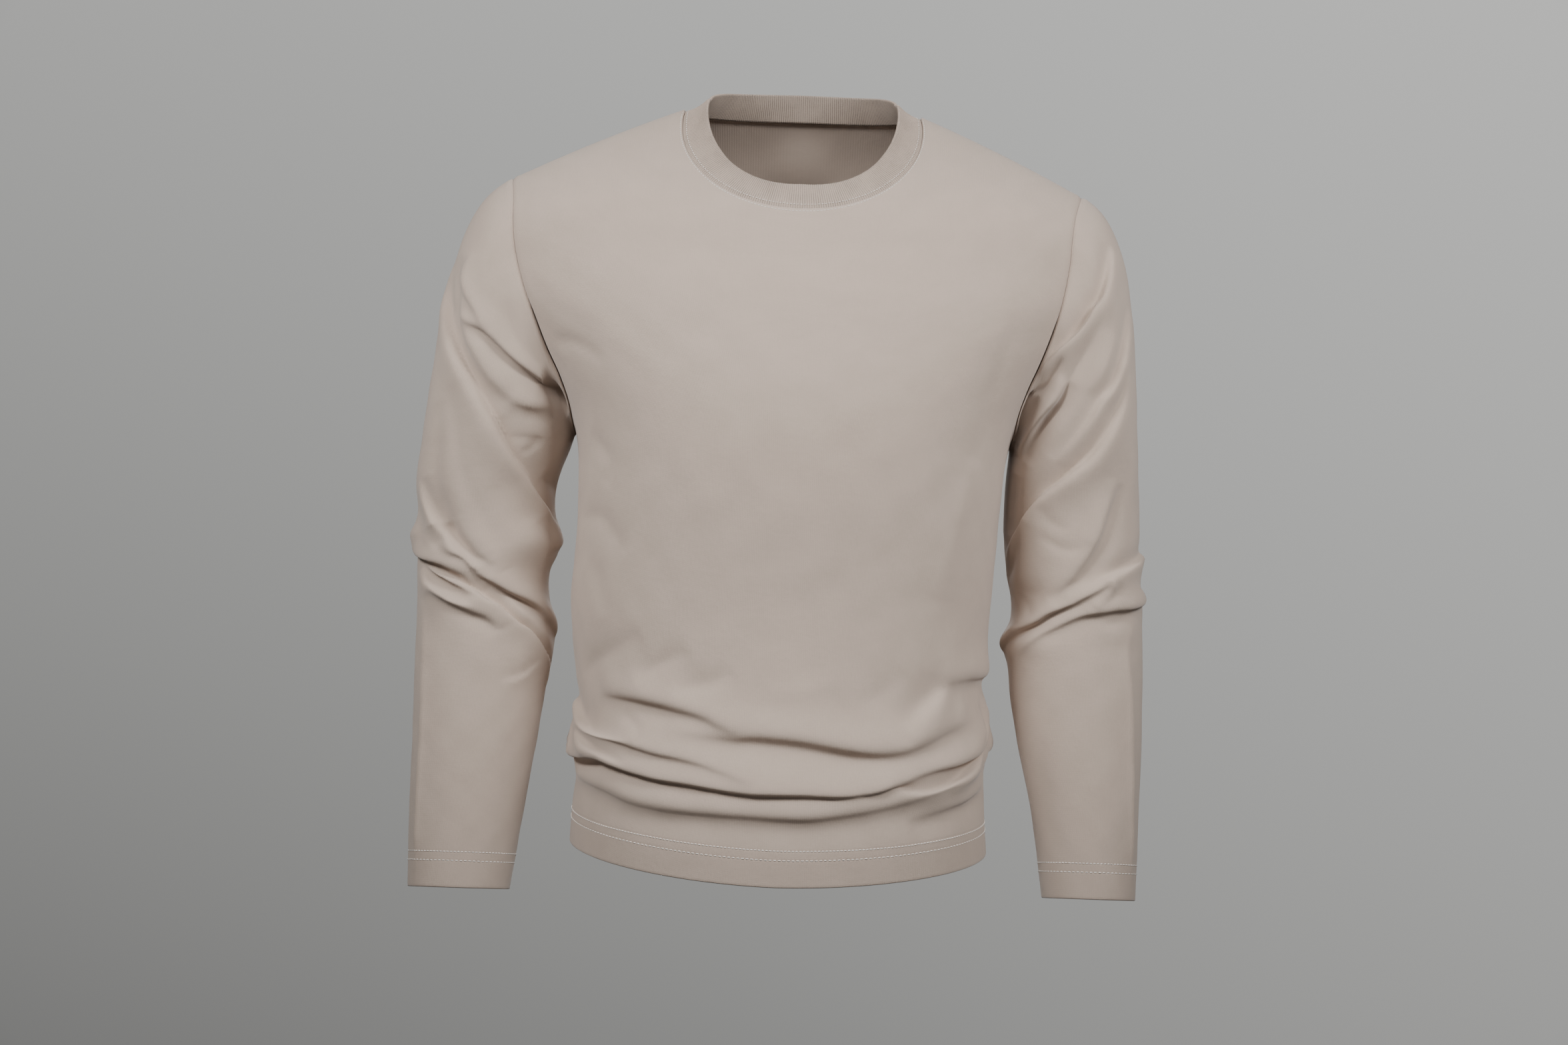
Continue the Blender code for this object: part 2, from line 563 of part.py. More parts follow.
class Shirt:
    """The four jersey pieces as grids of outer points, with directions that agree at the seams."""

    def __init__(self):
        self.grids = {"front": body_panel("front", FRONT_NECK_COLUMNS),
                      "back": body_panel("back", BACK_NECK_COLUMNS)}
        for side in ("right", "left"):
            loop = armhole_loop(self.grids["front"], self.grids["back"], side)
            self.grids["sleeve_" + side] = sleeve_panel(side, loop)
        self.yoke = len(body_row_heights()) - 1
        self.normals = {}
        self.find_normals()
        self.fold()
        self.find_normals()

    def find_normals(self):
        for name, grid in self.grids.items():
            turned = name in ("back", "sleeve_left")
            self.normals[name] = grid_normals(grid, name.startswith("sleeve"), turned)
        front = self.normals["front"]
        back = self.normals["back"]
        shoulder = SHOULDER_COLUMNS + 1
        for column in (0, -1):
            front[:, column], back[:, column] = share_normals(front[:, column], back[:, column])
        for part in (slice(0, shoulder), slice(-shoulder, None)):
            front[-1, part], back[-1, part] = share_normals(front[-1, part], back[-1, part])
        for side, column in (("right", 0), ("left", -1)):
            sleeve = self.normals["sleeve_" + side]
            loop = armhole_loop(front, back, side)
            loop, sleeve[0] = share_normals(loop, sleeve[0])
            rows = len(front) - self.yoke
            front[self.yoke:, column] = loop[:rows]
            back[self.yoke:, column] = loop[rows - 1:][::-1]
        self.share_with_band()

    def share_with_band(self):
        front = self.normals["front"]
        back = self.normals["back"]
        seam = neck_seam(self.grids["front"], self.grids["back"])
        inward, upward, angle = band_frame(seam)
        lift = band_slope(angle, 0.0)
        _, shared = share_normals(upward * np.cos(lift) - inward * np.sin(lift), neck_seam(front, back))
        first = SHOULDER_COLUMNS
        around = FRONT_NECK_COLUMNS + 1
        front[-1, first:first + around] = shared[:around]
        behind = np.concatenate([shared[:1], shared[around - 1:][::-1]])
        back[-1, first:first + BACK_NECK_COLUMNS + 1] = behind
        self.neck_normal = shared

    def fold(self):
        for name, grid in self.grids.items():
            rows = np.arange(len(grid))[:, None]
            if name.startswith("sleeve"):
                folds = SLEEVE_RIGHT_FOLDS if name == "sleeve_right" else SLEEVE_LEFT_FOLDS
                height = fold_height(sleeve_places(grid), folds, 4 * SLEEVE_QUARTER)
                seam = np.linalg.norm(grid - grid[0], axis=2)
                fade = eased(seam / FOLD_FADE)
            else:
                height = fold_height(body_places(grid, name), BODY_FOLDS, 4 * BODY_QUARTER)
                armhole = np.minimum(np.linalg.norm(grid - grid[:, :1], axis=2),
                                     np.linalg.norm(grid - grid[:, -1:], axis=2))
                top = np.linalg.norm(grid - grid[-1:], axis=2)
                fade = np.where(rows >= self.yoke, eased(armhole / FOLD_FADE), 1.0) * eased(top / NECK_FADE)
            cuff = np.linalg.norm(grid - (grid[-1:] if name.startswith("sleeve") else grid[:1]), axis=2)
            fade = fade * (HEM_FOLD_SHARE + (1 - HEM_FOLD_SHARE) * eased((cuff - HEM_FADE) / HEM_FADE_RUN))
            height = height.reshape(grid.shape[:2]) * fade
            self.grids[name] = grid + self.normals[name] * height[:, :, None]


def neck_seam(front, back):
    """One closed line from the top rows of the two panels: round the front from the right shoulder to the
    left one, then back behind the neck."""
    first = SHOULDER_COLUMNS
    around = front[-1][first:len(front[-1]) - first]
    behind = back[-1][first:len(back[-1]) - first][::-1]
    return np.concatenate([around, behind[1:-1]])


def band_frame(seam):
    """For each point of the neck seam: level direction inward, direction up, angle from the front."""
    angle = np.concatenate([np.linspace(-90, 90, FRONT_NECK_COLUMNS + 1),
                            np.linspace(90, 270, BACK_NECK_COLUMNS + 1)[1:-1]])
    angle = np.where(angle > 180, 360 - angle, np.abs(angle))
    along = np.roll(seam, -1, axis=0) - np.roll(seam, 1, axis=0)
    along /= np.linalg.norm(along, axis=1)[:, None]
    inward = np.stack([-along[:, 1], along[:, 0], np.zeros(len(seam))], axis=1)
    inward /= np.linalg.norm(inward, axis=1)[:, None]
    return inward, np.cross(along, inward), angle


def band_slope(angle, share):
    """Slope of the band in radians at a share of its width."""
    low = smooth_read(BAND_ROWS, "angle", "at_seam", angle)
    high = smooth_read(BAND_ROWS, "angle", "at_fold", angle)
    return np.radians(low + (high - low) * share)[:, None]


def neckband(seam, seam_normal):
    """The band in mm: lines of points from the neck seam to the fold, and directions out of the cloth."""
    inward, upward, angle = band_frame(seam)
    outs = [seam_normal]
    start = band_slope(angle, 0.0)
    lines = [seam + (inward * np.cos(start) + upward * np.sin(start)) * SEAM_GAP / MM / 2]
    for number in range(BAND_STEPS):
        lift = band_slope(angle, (number + 0.5) / BAND_STEPS)
        step = inward * np.cos(lift) + upward * np.sin(lift)
        lines.append(lines[-1] + step * RIB_BAND_WIDTH / MM / BAND_STEPS)
        ahead = band_slope(angle, min(number + 1.0, BAND_STEPS - 0.5) / BAND_STEPS)
        outs.append(upward * np.cos(ahead) - inward * np.sin(ahead))
    return np.array(lines), np.array(outs)


def between(line, parts):
    """Points at equal steps along the straight runs of a closed line."""
    following = np.roll(line, -1, axis=0)
    share = np.arange(parts)[None, :, None] / parts
    return (line[:, None] * (1 - share) + following[:, None] * share).reshape(-1, 3)


def make_material(name, colour, roughness):
    material = bpy.data.materials.new(name)
    material.use_nodes = True
    shader = material.node_tree.nodes["Principled BSDF"]
    shader.inputs["Base Color"].default_value = (*colour, 1.0)
    shader.inputs["Roughness"].default_value = roughness
    shader.inputs["Metallic"].default_value = 0.0
    return material


def make_object(name, bm, material, collection, parent):
    mesh = bpy.data.meshes.new(name)
    bm.to_mesh(mesh)
    bm.free()
    mesh.materials.append(material)
    mesh.shade_smooth()
    mesh.set_sharp_from_angle(angle=SHARP_ANGLE)
    piece = bpy.data.objects.new(name, mesh)
    piece.parent = parent
    collection.objects.link(piece)
    return piece


def add_points(bm, grid):
    return [[bm.verts.new(point * MM) for point in row] for row in grid]


def add_strip(bm, first, second, ring):
    """Quads between two rows of vertices."""
    count = len(first)
    for i in range(count if ring else count - 1):
        j = (i + 1) % count
        bm.faces.new((first[i], first[j], second[j], second[i]))


def add_sheet(bm, rows, rising, ring):
    """Two triangles for each cell of a grid. Both sides of a wall get the same diagonals."""
    count = len(rows[0])
    for i in range(len(rows) - 1):
        for j in range(count if ring else count - 1):
            k = (j + 1) % count
            here, beside, across, above = rows[i][j], rows[i][k], rows[i + 1][k], rows[i + 1][j]
            if rising[i, j]:
                bm.faces.new((here, beside, across))
                bm.faces.new((here, across, above))
            else:
                bm.faces.new((here, beside, above))
                bm.faces.new((beside, across, above))


def shorter_diagonals(grid):
    """True for each cell whose diagonal from its own corner is the shorter one."""
    beside = np.roll(grid, -1, axis=1)
    rising = np.linalg.norm(beside[1:] - grid[:-1], axis=2)
    falling = np.linalg.norm(grid[1:] - beside[:-1], axis=2)
    return rising < falling


def cloth_wall(outer, normal, thickness, ring):
    """A closed wall: the outer grid, the same grid moved in by each row's thickness, and the rims."""
    inner = outer - normal * thickness[:, None, None] / MM
    rising = shorter_diagonals(outer)
    bm = bmesh.new()
    out = add_points(bm, outer)
    inside = add_points(bm, inner)
    add_sheet(bm, out, rising, ring)
    add_sheet(bm, inside, rising, ring)
    add_strip(bm, inside[0], out[0], ring)
    add_strip(bm, out[-1], inside[-1], ring)
    if not ring:
        for column in (0, -1):
            add_strip(bm, [row[column] for row in out], [row[column] for row in inside], False)
    bmesh.ops.recalc_face_normals(bm, faces=bm.faces)
    return bm


def draw_back(grid, row=None, column=None):
    """Move an edge row or column by half a seam gap over the cloth, towards its neighbour."""
    gap = SEAM_GAP / MM / 2
    if row is not None:
        edge, beside = grid[row], grid[1 if row == 0 else row - 1]
    else:
        edge, beside = grid[:, column], grid[:, 1 if column == 0 else column - 1]
    step = beside - edge
    edge += step / np.maximum(np.linalg.norm(step, axis=1), 1e-9)[:, None] * gap


def hem_thickness(row_count, at_start):
    """One thickness for each row: the turned-up hem is thicker than the single cloth."""
    thickness = np.full(row_count, CLOTH)
    turned_up = len(HEM_ROWS) - 1
    if at_start:
        thickness[:turned_up] = HEM_CLOTH
    else:
        thickness[-turned_up:] = HEM_CLOTH
    return thickness


def make_panel(shirt, name, material, collection, parent):
    grid = shirt.grids[name].copy()
    draw_back(grid, row=len(grid) - 1)
    draw_back(grid, column=0)
    draw_back(grid, column=grid.shape[1] - 1)
    bm = cloth_wall(grid, shirt.normals[name], hem_thickness(len(grid), True), False)
    return make_object(name, bm, material, collection, parent)


def make_sleeve(shirt, name, material, collection, parent):
    grid = shirt.grids[name][:, :-1].copy()
    draw_back(grid, row=0)
    bm = cloth_wall(grid, shirt.normals[name][:, :-1], hem_thickness(len(grid), False), True)
    return make_object(name, bm, material, collection, parent)


def make_collar(shirt, material, collection, parent):
    """The rib-knit band: ribs stand up on the outer side of the wall, and the inner side is plain."""
    seam = neck_seam(shirt.grids["front"], shirt.grids["back"])
    lines, outs = neckband(seam, shirt.neck_normal)
    fine = PLAIN_COLUMNS * 2 * RIBS_PER_PLAIN_COLUMN
    count = lines.shape[1] * fine
    relief = np.where(np.arange(count) % 2 == 1, RIB_RELIEF / MM, 0.0)[:, None]
    ribbed = np.array([between(line, fine) + between(out, fine) * relief for line, out in zip(lines, outs)])
    plain = np.array([between(line - out * RIB_BAND_CLOTH / MM, PLAIN_COLUMNS)
                      for line, out in zip(lines, outs)])
    bm = bmesh.new()
    outside = add_points(bm, ribbed)
    inside = add_points(bm, plain)
    add_sheet(bm, outside, shorter_diagonals(ribbed), True)
    add_sheet(bm, inside, shorter_diagonals(plain), True)
    ribs = RIBS_PER_PLAIN_COLUMN
    for ribbed_edge, plain_edge in ((outside[0], inside[0]), (outside[-1], inside[-1])):
        for i, here in enumerate(plain_edge):
            ahead = plain_edge[(i + 1) % len(plain_edge)]
            run = [ribbed_edge[(i * 2 * ribs + k) % count] for k in range(2 * ribs + 1)]
            for k in range(2 * ribs):
                bm.faces.new((run[k], run[k + 1], here if k < ribs else ahead))
            bm.faces.new((run[ribs], ahead, here))
    bmesh.ops.recalc_face_normals(bm, faces=bm.faces)
    return make_object("collar", bm, material, collection, parent)


def clear_scene():
    for item in list(bpy.data.objects):
        bpy.data.objects.remove(item, do_unlink=True)


def main():
    clear_scene()
    collection = bpy.data.collections.new(COLLECTION)
    bpy.context.scene.collection.children.link(collection)
    parent = bpy.data.objects.new("neck_shoulder_point", None)
    collection.objects.link(parent)
    shirt = Shirt()
    for name, colour in JERSEY_COLOURS.items():
        material = make_material(name + "_jersey", colour, JERSEY_ROUGHNESS)
        make = make_sleeve if name.startswith("sleeve") else make_panel
        make(shirt, name, material, collection, parent)
    rib = make_material("collar_rib_knit", RIB_COLOUR, RIB_ROUGHNESS)
    make_collar(shirt, rib, collection, parent)


main()
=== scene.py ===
import math
from collections import namedtuple

import bpy
import numpy as np
from mathutils import Matrix, Vector


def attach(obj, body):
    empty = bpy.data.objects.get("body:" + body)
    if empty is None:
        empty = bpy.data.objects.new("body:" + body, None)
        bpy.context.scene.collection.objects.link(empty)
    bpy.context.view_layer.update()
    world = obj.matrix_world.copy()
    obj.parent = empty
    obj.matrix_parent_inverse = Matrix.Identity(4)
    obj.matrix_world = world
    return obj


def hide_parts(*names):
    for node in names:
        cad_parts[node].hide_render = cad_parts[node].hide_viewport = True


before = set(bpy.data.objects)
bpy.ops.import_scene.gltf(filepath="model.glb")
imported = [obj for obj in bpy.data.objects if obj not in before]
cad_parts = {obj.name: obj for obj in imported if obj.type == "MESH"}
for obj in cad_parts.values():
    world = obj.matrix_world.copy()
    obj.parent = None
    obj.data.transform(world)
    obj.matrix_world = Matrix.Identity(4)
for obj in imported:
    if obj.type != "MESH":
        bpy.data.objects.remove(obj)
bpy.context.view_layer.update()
mm = 0.001
print("frame loaded:", sorted(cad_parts))

# The cut of the shirt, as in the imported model

body = {
    "hemZ": -580,
    "hemRise": 12,
    "hemRiseCurve": 1.6,
    "hemRiseTop": -440,
    "underarmZ": -252,
    "shoulderDrop": 58.5,
    "shoulderCrown": 2.0,
    "roundness": 2.4,
    "shoulderRoll": 70,
    "rollRoundness": 2.2,
    "girthQuarter": 220,
    "evenHalfWidth": 165,    # the section that the columns are spread evenly round
    "evenDepth": 112,
    "columns": 160,
    "sideColumns": (0.0, 0.7, 1.6, 2.8),
    "waistZ": -420,
    "waistRows": 84,
    "chestRows": 56,
    "yokeRows": 72,
    "yokeTopCurve": 1.5,    # rows closer together towards the top and the underarm
    "yokeLowCurve": 1.35,
}
neck = {
    "halfWidth": 92.5,
    "widestZ": -12,
    "frontZ": -87,
    "backZ": 8,
    "roundness": 2.1,
    "apexZ": 38,
    "cornerSpread": 8,
    "share": 0.46,    # of the panel's columns, where the neckline ends
    "cornerWidth": 0.16,
    "cornerOnset": 6,
}
sleeve = {
    "roundness": 2.15,
    "girthQuarter": 75,
    "forearmLean": math.radians(11),
    "leanRun": 80,
    "elbowZ": -380,
    "directionStep": 8,    # how far down the arm its direction is read
    "seamSteps": (0.0, 0.004, 0.009),
    "capStart": 0.015,
    "capRows": 88,
    "elbowZone": (-424, -324),
    "upperRows": 36,
    "elbowRows": 76,
    "lowerRows": 54,
}
cloth = {
    "thickness": 0.8,
    "hemThickness": 1.8,
    "hemDepths": (0, 0.3, 0.9, 2.5, 5, 8, 11, 14, 17, 20, 23, 26),
    "hemRoundDepth": 0.9,
    "hemRound": ((0.26, 0.86), (0.0, 0.5), (0.26, 0.14)),    # depth, and share of the hem's thickness
    "seamDip": 0.7,
    "seamWidth": 1.1,
    "seamPuff": 0.3,
    "puffAway": 4.2,
    "puffWidth": 2.2,
    "sharedFrom": -0.1,    # cosine between two pieces' directions, from which a seam shares them
    "sharedRun": 0.6,
    "foldTaper": 0.6,
    "overhang": 0.5,
    "roundEdge": 0.7,
    "crispShare": 0.45,
    "foldMargin": 3.2,
    "crestFall": 1.4,
    "foldFade": 14,
    "sleeveFade": 5,
    "neckFade": 30,
    "hemFade": 10,
    "hemFadeRun": 30,
    "hemFoldShare": 0.25,    # of a fold's height that is left at the hem
}
ripple = {
    "height": 0.28,
    "waves": 26,
    "shortest": 26,
    "longest": 110,
    "strength": (0.3, 1.0),
    "seeds": {"front": 10, "back": 10, "sleeve_right": 11, "sleeve_left": 12},
}


def table(columns, *rows):
    # rows of numbers by the names of their columns; the first column is what the others are read at
    return dict(zip(columns.split(), np.array(rows, dtype=float).T))


bodySections = table(
    "z right left front back",
    (40, 268, 262, 12, 62),
    (8, 266, 261, 24, 80),
    (-30, 265, 260, 44, 94),
    (-60, 264, 258, 64, 104),
    (-87, 256, 248, 82, 111),
    (-120, 245, 237, 95, 117),
    (-155, 230, 224, 106, 121),
    (-180, 212, 208, 111, 122),
    (-212, 188, 187, 116, 121),
    (-240, 172, 173, 118, 118),
    (-252, 168, 169, 118, 117),
    (-300, 164, 163, 115, 110),
    (-350, 165, 160, 110, 102),
    (-378, 167, 158, 108, 99),
    (-410, 165, 156, 108, 98),
    (-440, 161, 155, 110, 99),
    (-480, 159, 158, 116, 103),
    (-530, 160, 158, 123, 109),
    (-582, 162, 162, 125, 112),
)
armholeRows = table(
    "z right left",
    (-58.5, 223, 218),
    (-78, 218, 210),
    (-100, 215.5, 205.5),
    (-120, 212.5, 203.5),
    (-145, 205.5, 199),
    (-170, 196, 192.5),
    (-195, 186, 184),
    (-215, 176.5, 176),
    (-235, 170, 170.5),
    (-252, 168, 169),
)
sleeveRightSections = table(
    "z outer inner halfDepth middleY",
    (-262, 287.5, 172, 60, 4),
    (-298, 291, 183.5, 57, 5),
    (-320, 289, 183, 56, 6),
    (-341, 291, 176, 55, 6),
    (-362, 288.5, 186, 54, 6),
    (-385, 287.5, 186, 53, 5),
    (-402, 287, 181, 51.5, 3),
    (-430, 286.5, 181, 49, -2),
    (-452, 286, 185, 47, -6),
    (-480, 284.5, 188, 44.5, -12),
    (-540, 283, 195.5, 39.5, -24),
    (-605, 280, 203.5, 34.5, -36.5),
)
sleeveLeftSections = table(
    "z outer inner halfDepth middleY",
    (-262, 269.5, 170.5, 60, 4),
    (-290, 271.5, 168, 57, 5),
    (-330, 274, 169, 56, 6),
    (-352, 275.5, 172, 55, 6),
    (-375, 279, 176.5, 54, 6),
    (-390, 277.5, 176, 52.5, 4),
    (-408, 278, 169.5, 51, 2),
    (-424, 278, 174, 49.5, -1),
    (-445, 278, 176.5, 47.5, -5),
    (-480, 277, 182, 44.5, -12),
    (-540, 274.5, 194.5, 39.5, -24),
    (-598, 272, 202, 34.5, -35.5),
)
capRows = table(
    "angle out forward down seamHandle armHandle",
    (-90, 0.30, 0.0, 0.95, 4, 5),
    (-45, 0.60, 0.30, 0.74, 14, 22),
    (0, 0.84, 0.30, 0.45, 26, 46),
    (45, 0.90, 0.20, 0.38, 38, 84),
    (90, 0.91, 0.0, 0.42, 48, 110),
    (135, 0.90, -0.20, 0.38, 38, 84),
    (180, 0.84, -0.30, 0.45, 26, 46),
    (225, 0.60, -0.30, 0.74, 14, 22),
    (270, 0.30, 0.0, 0.95, 4, 5),
)
bandRows = table(
    "angle atSeam atFold",
    (0, 62, 66),
    (45, 46, 56),
    (90, 14, 48),
    (135, 48, 70),
    (180, 64, 76),
)


# A fold's path runs over the cloth through points of (girth, height). A crease is a ridge on its path, or a
# trough where its height is below 0. A roll lies along the left of its path's direction (upper), or along
# the right (lower), and where one of them is below 0, it is the trough that the other one laps over.
# A small edge is crisp.
Fold = namedtuple("Fold", "path crest upper lower upperReach lowerReach edge")


def crease(height, reach, edge, *path):
    return Fold(path, height, 0, 0, reach, reach, edge)


def roll(upper, lower, upperReach, lowerReach, edge, *path):
    return Fold(path, 0, upper, lower, upperReach, lowerReach, edge)


bodyFolds = (
    # Across the front of the waist, from the top down
    roll(3.8, -3.2, 11, 8, 0.4, (-134, -451), (-109, -452), (-85, -454), (-65, -457), (-44, -461),
         (-32, -466), (-20, -472)),
    roll(4.8, -3.4, 12, 10, 0.5, (-68, -476), (-46, -476), (-26, -477), (-10, -476), (7, -478), (31, -483),
         (52, -485), (72, -483), (90, -478), (114, -470), (148, -463)),
    roll(-3, 4.4, 8, 9, 0.3, (-232, -460), (-205, -461), (-188, -464), (-172, -471), (-154, -475),
         (-130, -478), (-96, -479)),
    roll(4.6, -2.6, 9, 8, 0.35, (-175, -478), (-150, -481), (-105, -484), (-75, -489), (-49, -493),
         (-31, -498), (-10, -506)),
    roll(-2, 2, 3, 4, 0.3, (-172, -481), (-154, -486), (-138, -490), (-122, -493), (-100, -497)),
    roll(6.2, -3, 12, 8, 0.15, (-262, -492), (-228, -498), (-197, -501), (-165, -500), (-144, -499),
         (-130, -499), (-115, -501), (-94, -504), (-73, -507), (-49, -509), (-16, -513), (8, -513),
         (29, -513), (45, -511), (55, -509), (68, -505), (84, -504)),
    roll(5, -2.6, 11, 8, 0.35, (44, -512), (55, -509), (78, -502), (101, -496), (135, -491), (165, -485),
         (191, -475), (210, -458)),
    roll(5, -2.4, 14, 12, 0.7, (-262, -508), (-215, -512), (-181, -517), (-130, -521), (-99, -527),
         (-74, -530), (-53, -531), (-16, -532), (8, -533), (30, -530), (66, -523), (89, -518), (115, -512),
         (156, -506), (190, -497), (262, -492)),
    roll(-2.6, 3.4, 5, 7, 0.3, (62, -505), (80, -510), (102, -509), (125, -503), (150, -493), (180, -479)),
    crease(2, 4, 0.5, (118, -514), (140, -505), (158, -491), (170, -480)),
    roll(3.2, -2.4, 9, 9, 0.6, (78, -534), (110, -528), (149, -522), (192, -514)),
    # At the two sides of the waist
    roll(4, -2.2, 13, 11, 0.5, (110, -440), (116, -436), (130, -434), (150, -433), (175, -433), (246, -432)),
    roll(2.4, -2.4, 10, 11, 0.6, (120, -434), (110, -440), (102, -446), (85, -458), (74, -468)),
    crease(-2.4, 4, 0.3, (176, -450), (184, -462), (178, -474), (158, -482)),
    crease(3, 7, 0.5, (214, -446), (206, -462), (210, -476), (224, -486)),
    crease(-2.8, 3.5, 0.3, (-206, -503), (-190, -506), (-165, -505), (-148, -503), (-128, -499)),
    crease(2, 3, 0.4, (-176, -482), (-158, -490), (-140, -495), (-130, -499)),
    roll(2.2, -2.2, 4, 4, 0.3, (-228, -480), (-206, -483), (-194, -493), (-204, -502), (-228, -500)),
    roll(-1.5, 2, 5, 5, 0.3, (-262, -478), (-236, -480), (-212, -488)),
    # Small dents and soft drags over the belly and chest
    crease(-1.6, 4, 0.4, (-112, -463), (-100, -467), (-90, -474), (-88, -481)),
    crease(-2, 7, 0.6, (-62, -443), (-39, -437), (-24, -428)),
    crease(-2.2, 7, 0.6, (-92, -437), (-78, -428), (-52, -414)),
    crease(-3, 9, 0.6, (-166, -438), (-140, -427), (-118, -418), (-88, -404)),
    crease(-1.4, 9, 0.7, (40, -452), (58, -440), (74, -424)),
    crease(1.2, 10, 0.7, (-20, -446), (8, -440), (30, -430)),
    crease(-2.2, 7, 0.5, (-152, -258), (-130, -274), (-127, -284), (-134, -296)),
    crease(-2.6, 8, 0.5, (-176, -320), (-140, -320), (-124, -328), (-104, -346)),
    crease(-1.6, 9, 0.7, (-150, -352), (-132, -368), (-126, -392)),
    crease(-2.4, 6, 0.5, (-146, -192), (-128, -190), (-116, -195), (-104, -206)),
    crease(-2, 9, 0.6, (104, -158), (112, -180), (119, -206), (128, -240), (131, -272)),
    crease(2.2, 12, 0.7, (124, -268), (112, -318), (97, -372)),
    crease(-1, 10, 0.7, (-96, -120), (-108, -152), (-124, -186)),
    crease(-1, 10, 0.7, (70, -118), (84, -146), (98, -172)),
    # Across the back of the waist
    roll(3.5, -3, 10, 8, 0.3, (232, -440), (300, -452), (352, -470)),
    roll(4, -4, 12, 9, 0.4, (330, -448), (400, -458), (468, -460), (540, -452)),
    roll(-3.5, 3.5, 8, 9, 0.3, (640, -446), (590, -460), (540, -478)),
    roll(6.5, -6, 10, 6, 0.2, (198, -488), (262, -494), (330, -507), (400, -514), (470, -513), (548, -505),
         (610, -497), (690, -492)),
    roll(5, -4, 12, 10, 0.5, (200, -504), (280, -518), (352, -530), (430, -534), (505, -531), (580, -521),
         (680, -507)),
    roll(2.6, -2.6, 7, 5, 0.3, (372, -484), (420, -489), (470, -487), (512, -480)),
    roll(2.4, -2.4, 6, 5, 0.3, (268, -474), (306, -484), (344, -494)),
    roll(-2.4, 2.4, 5, 6, 0.3, (610, -470), (584, -480), (548, -490)),
    # Down the back, from the shoulder blades
    crease(2.8, 18, 0.7, (318, -215), (330, -290), (350, -368)),
    crease(2.8, 18, 0.7, (560, -220), (546, -300), (520, -380)),
    roll(2.4, -2.4, 14, 12, 0.5, (262, -270), (284, -330), (318, -392)),
    roll(-2.4, 2.4, 12, 14, 0.5, (622, -276), (598, -340), (560, -404)),
    crease(-1.8, 9, 0.6, (408, -388), (440, -396), (476, -390)),
)
